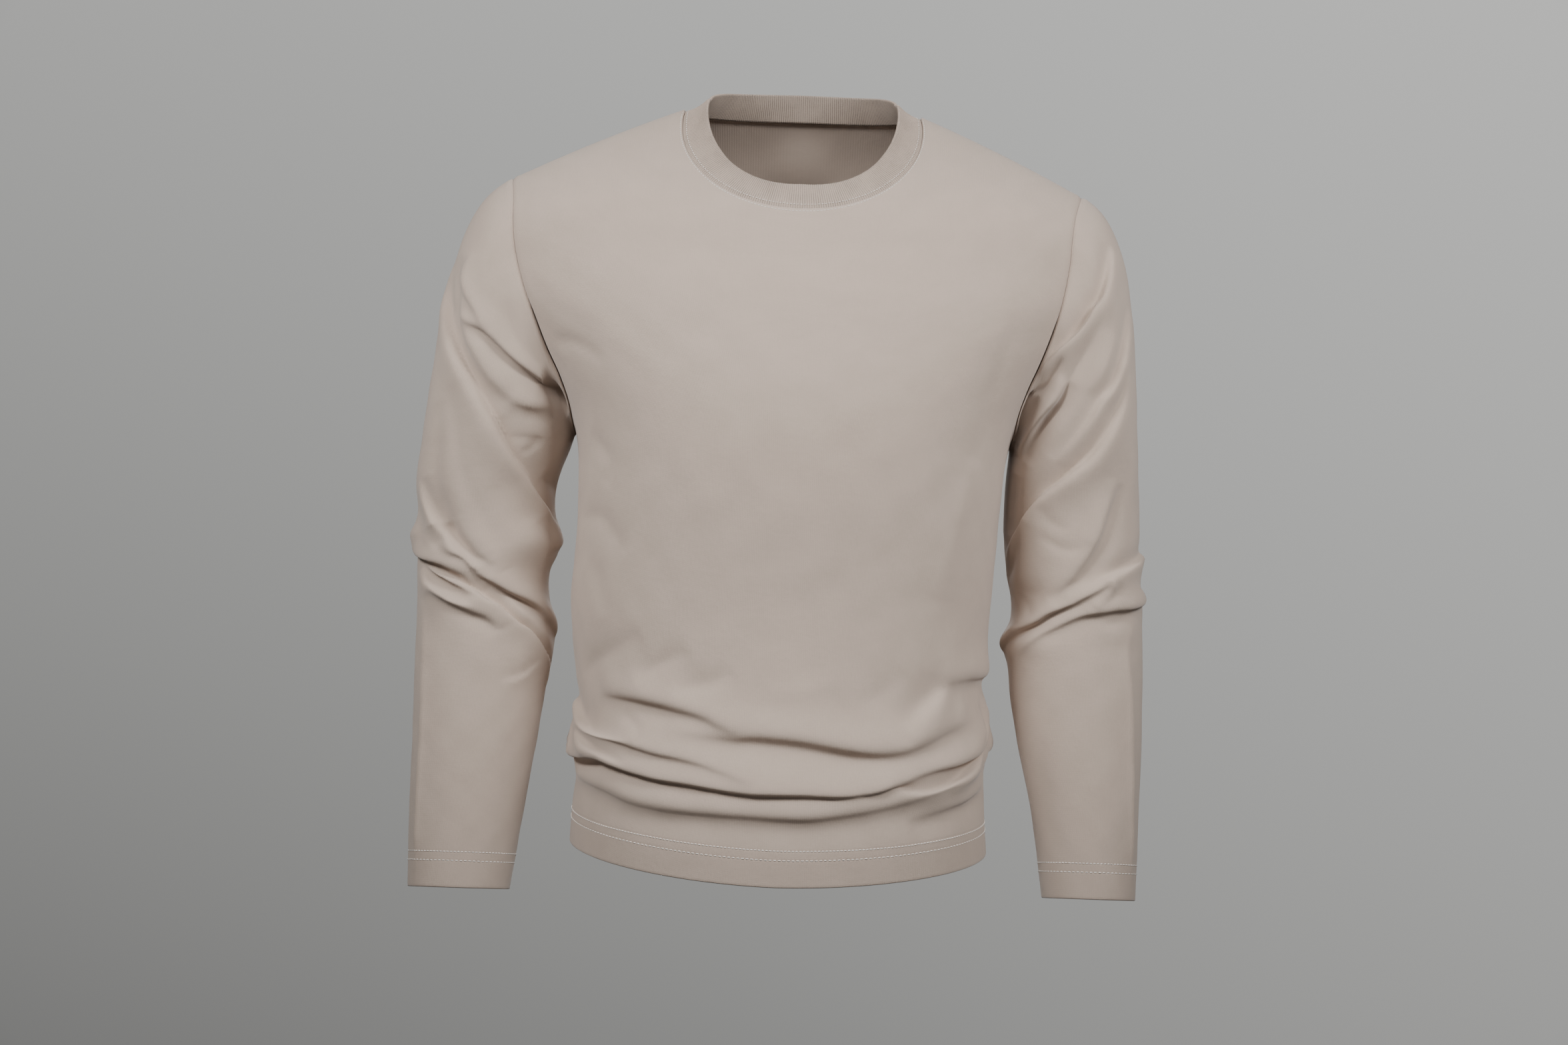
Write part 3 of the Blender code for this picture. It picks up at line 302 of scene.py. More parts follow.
sleeveRightFolds = (
    # From the shoulder down to the inner elbow
    roll(4, -3, 8, 7, 0.25, (64, -128), (62, -152), (48, -172), (34, -193), (21, -211), (11, -225), (2, -240),
         (-8, -259), (-20, -275), (-36, -290), (-49, -304), (-64, -316), (-80, -328)),
    crease(-5.4, 3.4, 0.25, (60, -140), (46, -175), (20, -213), (1, -242), (-20, -275), (-49, -304),
           (-78, -326)),
    roll(-2.2, 2.6, 7, 7, 0.5, (50, -122), (46, -140), (40, -152), (35, -166), (28, -183), (16, -201),
         (7, -215), (-2, -226), (-14, -238)),
    roll(-3.2, 4.4, 6, 9, 0.2, (31, -172), (22, -178), (11, -182), (3, -188), (-5, -196), (-13, -203),
         (-22, -210), (-37, -219), (-51, -226), (-66, -236)),
    roll(-1.6, 2.4, 6, 6, 0.5, (42, -124), (40, -140), (33, -152), (26, -161), (16, -171), (10, -181)),
    crease(-12, 6, 0.4, (-38, -216), (-50, -223), (-58, -230), (-68, -240)),
    roll(-1.8, 2.4, 8, 8, 0.6, (-10, -237), (-28, -241), (-46, -238)),
    crease(-1.6, 6, 0.5, (-6, -160), (-14, -184), (-30, -200), (-44, -208)),
    crease(-1.4, 4, 0.4, (-26, -274), (-31, -268), (-32, -260)),
    crease(-1.2, 5, 0.5, (-14, -262), (-26, -262), (-38, -266)),
    crease(-1.6, 6, 0.5, (30, -224), (22, -250), (15, -272), (8, -292), (0, -313), (-10, -345)),
    crease(-3.2, 7, 0.5, (38, -236), (31, -286), (24, -314), (14, -335), (-2, -358)),
    crease(1, 7, 0.5, (10, -240), (2, -262), (-8, -284), (-14, -300)),
    crease(-3, 6, 0.5, (-48, -290), (-60, -294), (-78, -298)),
    # Round the elbow
    roll(3.8, -3.2, 6, 7, 0.3, (46, -296), (39, -313), (30, -327), (19, -339), (9, -349), (-4, -361)),
    roll(-2.2, 1.8, 6, 6, 0.4, (17, -325), (12, -335), (4, -344), (-2, -350), (-11, -357), (-15, -364)),
    crease(-3, 7, 0.6, (29, -330), (26, -340), (30, -347)),
    crease(4, 8, 0.6, (84, -336), (66, -338), (48, -336)),
    roll(-3, 4.6, 5, 9, 0.2, (26, -345), (19, -350), (8, -355), (0, -362), (-5, -367), (-16, -374),
         (-26, -380), (-40, -386), (-52, -393), (-63, -402), (-84, -416)),
    roll(-2.6, 3.4, 5, 6, 0.3, (72, -352), (60, -353), (46, -356), (27, -359), (16, -363), (8, -367),
         (2, -373), (-6, -380)),
    roll(3.4, -4.4, 7, 4, 0.15, (40, -361), (23, -367), (11, -371), (0, -377), (-9, -384), (-17, -389),
         (-28, -401), (-37, -407), (-46, -415), (-55, -423), (-65, -431), (-82, -449)),
    crease(3.2, 4, 0.5, (-6, -371), (-23, -384), (-34, -396), (-45, -406), (-57, -416), (-76, -436)),
    roll(-2.6, 2, 4, 3, 0.35, (44, -362), (25, -369), (14, -374), (7, -378), (0, -383)),
    roll(3.6, -2.4, 7, 6, 0.35, (44, -362), (41, -368), (37, -373), (31, -376), (19, -381), (12, -385),
         (0, -389)),
    roll(-2.4, 2.4, 5, 6, 0.5, (36, -380), (23, -386), (17, -389), (7, -393), (0, -396), (-7, -400),
         (-15, -408)),
    crease(-3.2, 8, 0.5, (-50, -322), (-57, -338), (-62, -352)),
    crease(-2.6, 4, 0.5, (-54, -354), (-70, -350), (-92, -346)),
    roll(0.7, -0.7, 4, 4, 0.15, (-20, -446), (-39, -441), (-52, -430)),
    # Pressed along the forearm
    crease(3.6, 9, 0.04, (46, -388), (42, -410), (38, -462), (38, -540), (40, -612)),
    # On the hidden sides
    roll(-3.5, 3.5, 8, 8, 0.3, (96, -150), (110, -205), (140, -262), (178, -300)),
    crease(-3, 8, 0.5, (118, -142), (150, -196), (196, -232)),
    roll(4.5, -4.5, 8, 5, 0.2, (70, -351), (104, -356), (140, -370), (178, -392), (214, -408)),
    roll(4, -3.5, 7, 6, 0.25, (78, -366), (112, -376), (150, -394), (186, -420)),
    crease(-3, 8, 0.5, (100, -318), (136, -330), (168, -352)),
    roll(3, -3, 6, 5, 0.3, (86, -334), (112, -340), (142, -354)),
    crease(1.8, 8, 0.5, (126, -220), (150, -266), (186, -312)),
)
sleeveLeftFolds = (
    # From the shoulder down to the inner elbow
    roll(4.4, -4.2, 8, 6, 0.2, (48, -100), (40, -112), (29, -127), (17, -143), (7, -151), (-3, -163),
         (-12, -171), (-22, -178), (-32, -185), (-48, -199)),
    crease(-4.5, 3.5, 0.3, (-24, -190), (-28, -196), (-35, -203), (-41, -210), (-52, -217), (-62, -223)),
    roll(-4.8, 5.6, 7, 7, 0.25, (-18, -206), (-25, -220), (-31, -227), (-38, -236), (-44, -248), (-51, -264)),
    crease(-13, 8, 0.5, (-56, -214), (-63, -228), (-75, -248)),
    crease(-4, 9, 0.5, (-56, -276), (-61, -298), (-68, -322)),
    crease(-3.4, 6, 0.4, (14, -160), (-4, -186), (-13, -200), (-24, -217), (-34, -232)),
    roll(2.8, -2.6, 7, 6, 0.35, (52, -146), (32, -187), (20, -208), (9, -220), (0, -236), (-8, -249),
         (-20, -266)),
    roll(4.2, -3, 9, 8, 0.35, (38, -196), (30, -217), (22, -231), (12, -247), (4, -260), (-5, -271),
         (-17, -282), (-30, -292), (-40, -303), (-49, -313), (-61, -325), (-76, -340)),
    crease(-4.2, 3.6, 0.3, (34, -206), (22, -231), (4, -260), (-17, -282), (-40, -303), (-70, -333)),
    crease(1.8, 6, 0.5, (26, -168), (12, -196), (0, -214)),
    crease(-1.4, 6, 0.5, (-28, -300), (-20, -312), (-8, -318)),
    crease(-1.4, 5, 0.5, (-30, -322), (-14, -331), (-6, -332), (4, -326)),
    crease(-1.2, 7, 0.5, (38, -262), (28, -300), (16, -334), (8, -346)),
    # Round the elbow
    roll(-3, 2.8, 6, 7, 0.5, (26, -280), (18, -304), (12, -322), (4, -338), (-4, -351), (-11, -358),
         (-18, -363), (-26, -368)),
    roll(3.4, -2.2, 8, 6, 0.3, (84, -332), (62, -336), (42, -342), (31, -346), (20, -350), (10, -355),
         (2, -359), (-10, -367)),
    roll(-3.4, 4.2, 5, 8, 0.2, (16, -358), (4, -365), (-3, -369), (-10, -373), (-18, -377), (-27, -382),
         (-35, -388), (-44, -393), (-55, -398), (-64, -404), (-88, -416)),
    crease(3.2, 3.2, 0.4, (10, -354), (17, -356), (17, -362), (12, -367), (3, -374)),
    roll(-2, 3.6, 8, 9, 0.35, (92, -368), (60, -373), (32, -377), (20, -378), (10, -380), (0, -382),
         (-7, -385), (-14, -389), (-20, -393), (-27, -398), (-34, -405), (-48, -416)),
    crease(-2.6, 4, 0.4, (27, -359), (16, -366), (6, -373)),
    crease(-3, 6, 0.4, (96, -352), (74, -356), (50, -362)),
    crease(2.6, 6, 0.5, (64, -337), (76, -340), (96, -342)),
    crease(-1.8, 6, 0.6, (-60, -362), (-44, -367), (-30, -366)),
    crease(-2.2, 5, 0.4, (-62, -368), (-48, -375), (-41, -384)),
    crease(-4.5, 7, 0.4, (-42, -312), (-50, -328), (-60, -341), (-78, -358)),
    crease(-1.2, 5, 0.5, (12, -391), (25, -386), (36, -382)),
    # Pressed along the forearm
    crease(3.6, 9, 0.04, (40, -384), (34, -404), (33, -421), (35, -444), (38, -520), (44, -606)),
    # On the hidden sides
    roll(-3.5, 3.5, 8, 8, 0.3, (92, -150), (112, -208), (142, -262), (176, -304)),
    crease(-3, 8, 0.5, (120, -140), (152, -190), (200, -228)),
    roll(4.5, -4.5, 8, 5, 0.2, (74, -342), (106, -348), (146, -366), (182, -388), (216, -404)),
    roll(4, -3.5, 7, 6, 0.25, (84, -372), (118, -378), (152, -396), (190, -424)),
    crease(-3, 8, 0.5, (96, -306), (132, -322), (166, -344)),
    crease(1.8, 8, 0.5, (128, -222), (150, -262), (184, -308)),
)


def eased(value):
    value = np.clip(value, 0.0, 1.0)
    return value * value * (3.0 - 2.0 * value)


def hermite(t, first, last, firstSlope, lastSlope):
    return ((2 * t**3 - 3 * t**2 + 1) * first + (t**3 - 2 * t**2 + t) * firstSlope
            + (3 * t**2 - 2 * t**3) * last + (t**3 - t**2) * lastSlope)


def smoothRead(rows, column, at):
    # one column of a table anywhere along its first column, on a smooth curve
    keys, values = next(iter(rows.values())), rows[column]
    if keys[0] > keys[-1]:
        keys, values = keys[::-1], values[::-1]
    slopes = np.gradient(values, keys)
    at = np.clip(np.asarray(at, dtype=float), keys[0], keys[-1])
    span = np.clip(np.searchsorted(keys, at, side="right") - 1, 0, len(keys) - 2)
    width = keys[span + 1] - keys[span]
    return hermite((at - keys[span]) / width, values[span], values[span + 1], width * slopes[span],
                   width * slopes[span + 1])


def arch(ratio, roundness):
    ratio = np.clip(np.abs(ratio), 0.0, 1.0)
    return (1.0 - ratio**roundness)**(1.0 / roundness)


def neckPoint(turn):
    # front neckline: 0 at the shoulder seam's end, 1 in the middle of the front
    drop = neck["widestZ"] - neck["frontZ"]
    start = -math.asin((-neck["widestZ"] / drop)**(neck["roundness"] / 2))
    angle = start + np.asarray(turn, dtype=float) * (math.pi / 2 - start)
    power = 2 / neck["roundness"]
    x = neck["halfWidth"] * np.abs(np.cos(angle))**power
    z = neck["widestZ"] - drop * np.sign(np.sin(angle)) * np.abs(np.sin(angle))**power
    return x, z


neckEnd = float(neckPoint(0.0)[0])


def ridgeHeight(x):
    # height of the shoulder seam, carried on over the neck as a dome
    side = np.where(x < 0, armholeRows["right"][0], armholeRows["left"][0])
    along = (np.abs(x) - neckEnd) / (side - neckEnd)
    crown = body["shoulderCrown"]
    slope = -body["shoulderDrop"] + 4 * crown
    shoulder = -body["shoulderDrop"] * along + 4 * crown * along * (1.0 - along)
    inner = 1.0 - np.clip(np.abs(x) / neckEnd, 0.0, 1.0)**2
    cone = -0.5 * slope * neckEnd / (side - neckEnd)
    dome = cone * inner + (neck["apexZ"] - cone) * inner**2
    return np.where(along > 0, shoulder, dome)


def halfWidth(x, z):
    return np.where(x < 0, smoothRead(bodySections, "right", z), smoothRead(bodySections, "left", z))


def bodyY(x, z, side):
    # depth of the body's surface at a place seen from the front
    depth = smoothRead(bodySections, side, z)
    belowRidge = np.clip((ridgeHeight(x) - z) / body["shoulderRoll"], 0.0, 1.0)
    y = depth * arch(1.0 - belowRidge, body["rollRoundness"]) * arch(x / halfWidth(x, z), body["roundness"])
    return -y if side == "front" else y


def bodyGirth(grid, side):
    # distance round the body from the middle of the front, the same on both sides of a seam
    x = grid[:, :, 0]
    ratio = np.clip(np.abs(x) / halfWidth(x, grid[:, :, 2]), 0.0, 1.0)
    angle = np.degrees(np.arcsin(ratio**(body["roundness"] / 2)))
    if side == "back":
        angle = 180.0 - angle
    return np.where(x < 0, -angle, angle) * body["girthQuarter"] / 90


def columnShares():
    # -1 and 1 are the panel's sides, with extra columns close to them for the seams
    edge = np.array(body["sideColumns"]) / body["girthQuarter"]
    inner = np.linspace(-1.0 + edge[-1], 1.0 - edge[-1], body["columns"] + 1 - 2 * (len(edge) - 1))
    return np.concatenate([-1.0 + edge[:-1], inner, (1.0 - edge[:-1])[::-1]])


def yokeShares():
    # heights through the yoke, 0 at the underarm and 1 at the top, finer at both ends
    step = np.arange(1, body["yokeRows"] + 1) / body["yokeRows"]
    return (1.0 - (1.0 - step)**body["yokeTopCurve"])**body["yokeLowCurve"]


def bodyHeights():
    hem = [body["hemZ"] + depth for depth in cloth["hemDepths"]]
    waist = np.linspace(hem[-1], body["waistZ"], body["waistRows"] + 1)[1:]
    chest = np.linspace(body["waistZ"], body["underarmZ"], body["chestRows"] + 1)[1:]
    return np.array([*hem, *waist, *chest])


def panelTop(shares, side):
    # shoulder seam, neckline, shoulder seam
    k = neck["share"]
    onShoulder = np.abs(shares) >= k
    tip = np.where(shares < 0, armholeRows["right"][0], armholeRows["left"][0])
    far = neckEnd + (np.abs(shares) - k) / (1 - k) * (tip - neckEnd)
    if side == "front":
        nearX, nearZ = neckPoint(1.0 - np.clip(np.abs(shares) / k, 0, 1))
    else:
        nearX = neckEnd * np.sin(np.clip(np.abs(shares) / k, 0, 1) * math.pi / 2)
        nearZ = neck["backZ"] * (1.0 - (nearX / neckEnd)**2)
    x = np.sign(shares) * np.where(onShoulder, far, nearX)
    z = np.where(onShoulder, ridgeHeight(x), nearZ)
    return np.stack([x, z], axis=1)


def bodyPanel(side):
    # rows of points from the hem to the shoulder seam and neckline
    shares = columnShares()
    fine = np.linspace(0.0, math.pi / 2, 4001)
    power = 2 / body["roundness"]
    length = np.concatenate([[0.0], np.cumsum(np.hypot(np.diff(body["evenHalfWidth"] * np.sin(fine)**power),
                                                       np.diff(body["evenDepth"] * np.cos(fine)**power)))])
    turn = np.interp(np.abs(shares), length / length[-1], fine)
    across = np.sign(shares) * np.sin(turn)**power
    rows = []
    for rowZ in bodyHeights():
        low = eased((body["hemRiseTop"] - rowZ) / (body["hemRiseTop"] - body["hemZ"]))
        z = rowZ + body["hemRise"] * low * np.abs(across)**body["hemRiseCurve"]
        half = halfWidth(shares, z)
        y = smoothRead(bodySections, side, z) * np.cos(turn)**power
        y = np.where(np.abs(shares) == 1.0, 0.0, -y if side == "front" else y)
        rows.append(np.stack([across * half, y, z], axis=1))
    low = rows[-1][:, [0, 2]]
    top = panelTop(shares, side)
    weight = (shares + 1.0) / 2
    k = neck["share"]
    corner = np.where(np.abs(shares) < k, np.abs(shares) / k / 2, 0.5 + (np.abs(shares) - k) / (1 - k) / 2)
    spread = neck["cornerSpread"] * np.sign(shares) * np.exp(-((corner - 0.5) / neck["cornerWidth"])**2)
    for v in yokeShares():
        zSide = body["underarmZ"] + (-body["shoulderDrop"] - body["underarmZ"]) * v
        right = np.array([-smoothRead(armholeRows, "right", zSide), zSide])
        left = np.array([smoothRead(armholeRows, "left", zSide), zSide])
        flat = (1 - v) * low + v * top
        flat += np.outer(1 - weight, right - (1 - v) * low[0] - v * top[0])
        flat += np.outer(weight, left - (1 - v) * low[-1] - v * top[-1])
        flat[:, 0] += spread * math.sin(math.pi * v**neck["cornerOnset"])
        rows.append(np.stack([flat[:, 0], bodyY(flat[:, 0], flat[:, 1], side), flat[:, 1]], axis=1))
    return np.array(rows)


def sleeveAngles():
    # angle round the sleeve of each armhole point: -90 at the underarm, 0 at the front, 90 at the top
    step = 1.0 - (1.0 - np.concatenate([[0.0], yokeShares()]))**(1 / body["yokeTopCurve"])
    front = -90 + 180 * step
    return np.concatenate([front, (180 - front)[::-1][1:]])


def armholeLoop(front, back, side):
    column = 0 if side == "right" else -1
    low = len(bodyHeights()) - 1
    return np.concatenate([front[low:, column], back[low:, column][::-1][1:]])


def sleeveHeights(sections):
    hem = [sections["z"][-1] + depth for depth in reversed(cloth["hemDepths"])]
    low, high = sleeve["elbowZone"]
    upper = np.linspace(sections["z"][0], high, sleeve["upperRows"] + 1)[:-1]
    elbow = np.linspace(high, low, sleeve["elbowRows"] + 1)[:-1]
    lower = np.linspace(low, hem[0], sleeve["lowerRows"] + 1)[:-1]
    return np.array([*upper, *elbow, *lower, *hem])


def sleevePanel(side, loop):
    # rings of points from the armhole seam to the cuff; the first and last column are the same line
    sections = sleeveRightSections if side == "right" else sleeveLeftSections
    outward = -1.0 if side == "right" else 1.0
    angle = sleeveAngles()
    turn = np.radians(angle)
    power = 2 / sleeve["roundness"]
    out = np.sign(np.sin(turn)) * np.abs(np.sin(turn))**power
    fore = np.sign(np.cos(turn)) * np.abs(np.cos(turn))**power

    def ring(z):
        outer, inner, depth, middle = (smoothRead(sections, name, z)
                                       for name in ("outer", "inner", "halfDepth", "middleY"))
        lean = math.tan(sleeve["forearmLean"]) * eased((sleeve["elbowZ"] - z) / sleeve["leanRun"])
        x = (outer + inner) / 2 + (outer - inner) / 2 * out
        y = middle - depth * fore
        return np.stack([outward * x, y, z - (y - middle) * lean], axis=1)

    armTop = ring(sections["z"][0])
    upward = armTop - ring(sections["z"][0] - sleeve["directionStep"])
    upward /= np.linalg.norm(upward, axis=1)[:, None]
    leave = np.stack([outward * smoothRead(capRows, "out", angle),
                      -smoothRead(capRows, "forward", angle),
                      -smoothRead(capRows, "down", angle)], axis=1)
    nearSeam = loop + leave * smoothRead(capRows, "seamHandle", angle)[:, None]
    nearArm = armTop + upward * smoothRead(capRows, "armHandle", angle)[:, None]
    steps = [*sleeve["seamSteps"], *np.linspace(sleeve["capStart"], 1.0, sleeve["capRows"])[:-1]]
    rows = [(1 - t)**3 * loop + 3 * (1 - t)**2 * t * nearSeam + 3 * (1 - t) * t**2 * nearArm + t**3 * armTop
            for t in steps]
    return np.array(rows + [ring(z) for z in sleeveHeights(sections)])


def smoothPath(points):
    points = np.array(points, dtype=float)
    slopes = np.gradient(points, axis=0)
    t = np.linspace(0.0, 1.0, 8, endpoint=False)[:, None]
    curve = [hermite(t, points[i], points[i + 1], slopes[i], slopes[i + 1]) for i in range(len(points) - 1)]
    return np.concatenate([*curve, points[-1:]])


def rollShape(far, edge):
    # 0 on the crease, 1 on the roll beside it, then away again; part of the rise is crisp, the rest round
    def bump(x):
        crisp = x / np.sqrt(x**2 + edge**2)
        rounded = x / np.sqrt(x**2 + (edge + cloth["roundEdge"])**2)
        return (rounded + (crisp - rounded) * cloth["crispShare"]) * np.exp(-x**2 / 2)

    return bump(far) / bump(np.linspace(0.05, 2.0, 60)).max()


def foldMoves(girth, height, folds, around):
    # outward movement, and the slide along girth and height that lays a roll over its crease
    moves = np.zeros((girth.size, 3))
    flatGirth = girth.ravel()
    flatHeight = height.ravel()
    for fold in folds:
        path = smoothPath(fold.path)
        margin = cloth["foldMargin"] * max(fold.upperReach, fold.lowerReach)
        low = path.min(axis=0) - margin
        high = path.max(axis=0) + margin
        start = path[:-1]
        step = path[1:] - start
        length = np.linalg.norm(step, axis=1)
        covered = np.concatenate([[0.0], np.cumsum(length)[:-1]])
        for turn in (-around, 0.0, around):
            near = np.flatnonzero((flatGirth + turn > low[0]) & (flatGirth + turn < high[0])
                                  & (flatHeight > low[1]) & (flatHeight < high[1]))
            if near.size == 0:
                continue
            place = np.stack([flatGirth[near] + turn, flatHeight[near]], axis=1)
            offset = place[:, None, :] - start[None, :, :]
            t = np.clip((offset * step).sum(axis=2) / length**2, 0.0, 1.0)
            distance = np.linalg.norm(offset - t[:, :, None] * step, axis=2)
            which = distance.argmin(axis=1)
            index = np.arange(near.size)
            side = step[which, 0] * offset[index, which, 1] - step[which, 1] * offset[index, which, 0]
            share = (covered[which] + t[index, which] * length[which]) / length.sum()
            taper = np.sin(np.pi * np.clip(share, 0.0, 1.0))**cloth["foldTaper"]
            far = distance[index, which] / np.where(side > 0, fold.upperReach, fold.lowerReach)
            crest = fold.crest * np.exp(-cloth["crestFall"] * (np.sqrt(far**2 + fold.edge**2) - fold.edge))
            beside = np.where(side > 0, fold.upper, fold.lower) * rollShape(far, fold.edge)
            moves[near, 0] += taper * (crest + beside)
            slide = taper * beside * cloth["overhang"] * (1 if fold.upper >= fold.lower else -1)
            leftward = np.stack([-step[which, 1], step[which, 0]], axis=1) / length[which][:, None]
            moves[near, 1:] -= leftward * slide[:, None]
    return moves.reshape(*girth.shape, 3)


def foldedGrid(grid, normal, moves, fade, seam, mirrored):
    # the grid moved along its own outward, girth and height directions
    up = np.array([0.0, 0.0, 1.0]) - normal * normal[:, :, 2:]
    up /= np.maximum(np.linalg.norm(up, axis=2), 0.2)[:, :, None]
    along = np.cross(up, normal) * (-1.0 if mirrored else 1.0)
    moves = moves * fade[:, :, None]
    outward = moves[:, :, :1] + seam[:, :, None]
    return grid + normal * outward + along * moves[:, :, 1:2] + up * moves[:, :, 2:]


def ripples(name, girth, height, around):
    # faint unevenness of worn cloth; whole waves round the piece, so that it closes
    chance = np.random.default_rng(ripple["seeds"][name])
    total = np.zeros_like(girth)
    for _ in range(ripple["waves"]):
        waves = chance.integers(2, max(3, int(around / ripple["shortest"])))
        tall = 2 * math.pi / chance.uniform(ripple["shortest"], ripple["longest"]) * chance.choice([-1, 1])
        strength = chance.uniform(*ripple["strength"])
        total += strength * np.sin(girth * 2 * math.pi / around * waves + height * tall
                                   + chance.uniform(0, 2 * math.pi))
    return total / math.sqrt(ripple["waves"]) * ripple["height"]


def gridNormals(grid, ring, turned):
    along = np.gradient(grid, axis=0)
    across = np.gradient(grid, axis=1)
    if ring:
        across[:, 0] = across[:, -1] = (grid[:, 1] - grid[:, -2]) / 2
    normal = np.cross(across, along)
    if turned:
        normal = -normal
    return normal / np.maximum(np.linalg.norm(normal, axis=2), 1e-12)[:, :, None]


def shareNormals(first, second):
    # the same directions on both sides of a seam, where the cloth doesn't double back
    dot = (first * second).sum(axis=-1, keepdims=True)
    middle = first + second
    middle /= np.maximum(np.linalg.norm(middle, axis=-1, keepdims=True), 1e-9)
    weight = eased((dot - cloth["sharedFrom"]) / cloth["sharedRun"])
    both = []
    for own in (first, second):
        mixed = own * (1.0 - weight) + middle * weight
        both.append(mixed / np.linalg.norm(mixed, axis=-1, keepdims=True))
    return both


def pieceNormals(grids):
    normals = {name: gridNormals(grid, name.startswith("sleeve"), name in ("back", "sleeve_left"))
               for name, grid in grids.items()}
    front, back = normals["front"], normals["back"]
    low = len(bodyHeights()) - 1
    shoulder = np.abs(columnShares()) >= neck["share"] - 1e-9
    for column in (0, -1):
        front[:, column], back[:, column] = shareNormals(front[:, column], back[:, column])
    front[-1, shoulder], back[-1, shoulder] = shareNormals(front[-1, shoulder], back[-1, shoulder])
    rows = len(front) - low
    for side, column in (("right", 0), ("left", -1)):
        own = normals["sleeve_" + side]
        loop, own[0] = shareNormals(armholeLoop(front, back, side), own[0])
        front[low:, column] = loop[:rows]
        back[low:, column] = loop[rows - 1:][::-1]
    return normals


def seamShape(distance):
    # cloth dips into a seam and stands a little proud beside it, over the seam's own layers
    dip = -cloth["seamDip"] * np.exp(-(distance / cloth["seamWidth"])**2)
    return dip + cloth["seamPuff"] * np.exp(-((distance - cloth["puffAway"]) / cloth["puffWidth"])**2)


def edgeDistance(grid, edge):
    # rough distance over the cloth from an edge row or column of the grid
    return np.linalg.norm(grid - edge, axis=2)


# The cloth, folded along its own directions

grids = {"front": bodyPanel("front"), "back": bodyPanel("back")}
for side in ("right", "left"):
    grids["sleeve_" + side] = sleevePanel(side, armholeLoop(grids["front"], grids["back"], side))
normals = pieceNormals(grids)
yokeStart = len(bodyHeights()) - 1
shares = columnShares()
onNeck = np.abs(shares) <= neck["share"] + 1e-9
patterns = {}
for name, grid in grids.items():
    height = grid[:, :, 2]
    if name.startswith("sleeve"):
        sections = sleeveRightSections if name == "sleeve_right" else sleeveLeftSections
        folds = sleeveRightFolds if name == "sleeve_right" else sleeveLeftFolds
        around = 4 * sleeve["girthQuarter"]
        girth = np.broadcast_to(sleeveAngles() * sleeve["girthQuarter"] / 90, height.shape)
        toSeam = edgeDistance(grid, grid[:1])
        fade = eased(toSeam / cloth["sleeveFade"])
        toHem = edgeDistance(grid, grid[-1:])
        seam = seamShape(toSeam)
        above = np.repeat((height.mean(axis=1) - height[-1].mean())[:, None], height.shape[1], axis=1)
        arm = sleeveHeights(sections) - sections["z"][-1]
        above[-len(arm):] = arm[:, None]
    else:
        folds = bodyFolds
        around = 4 * body["girthQuarter"]
        girth = bodyGirth(grid, name)
        toSide = np.minimum(edgeDistance(grid, grid[:, :1]), edgeDistance(grid, grid[:, -1:]))
        toTop = edgeDistance(grid, grid[-1:])
        inYoke = np.arange(len(grid))[:, None] >= yokeStart
        fade = np.where(inYoke, eased(toSide / cloth["foldFade"]), 1.0) * eased(toTop / cloth["neckFade"])
        toHem = edgeDistance(grid, grid[:1])
        seam = seamShape(toSide) + seamShape(toTop)
        above = height - height[0]
    moves = foldMoves(girth, height, folds, around)
    moves[:, :, 0] += ripples(name, girth, height, around)
    kept = cloth["hemFoldShare"]
    fade = fade * (kept + (1 - kept) * eased((toHem - cloth["hemFade"]) / cloth["hemFadeRun"]))
    grids[name] = foldedGrid(grid, normals[name], moves, fade, seam, name == "sleeve_right")
    if name == "back":
        girth = np.where(girth < 0, girth + around, girth)
    patterns[name] = np.stack([girth * mm, above * mm], axis=2)
normals = pieceNormals(grids)
print("cloth folded")


def gridAtDepth(grid, pattern, depths, depth):
    # a row of the hem at any depth above its edge, with its place in the pattern
    at = np.searchsorted(depths, depth) - 1
    at = min(max(at, 0), len(depths) - 2)
    t = (depth - depths[at]) / (depths[at + 1] - depths[at])
    return grid[at] * (1 - t) + grid[at + 1] * t, pattern[at] * (1 - t) + pattern[at + 1] * t


def turnedHem(grid, normal, pattern):
    # the hem goes round its edge and up inside; rows come edge first
    depths = cloth["hemDepths"]
    full = cloth["hemThickness"]
    start = depths.index(cloth["hemRoundDepth"])
    around = [(depth, full) for depth in depths[:start - 1:-1]]
    around += [(depth, share * full) for depth, share in cloth["hemRound"]]
    rows, uvRows = [], []
    for depth, inward in around:
        point, place = gridAtDepth(grid, pattern, depths, depth)
        direction, _ = gridAtDepth(normal, pattern, depths, depth)
        rows.append(point - direction * inward)
        uvRows.append(place * np.array([1, -1]) if inward > 0.5 * full else place)
    return np.concatenate([rows, grid[start:]]), np.concatenate([uvRows, pattern[start:]])


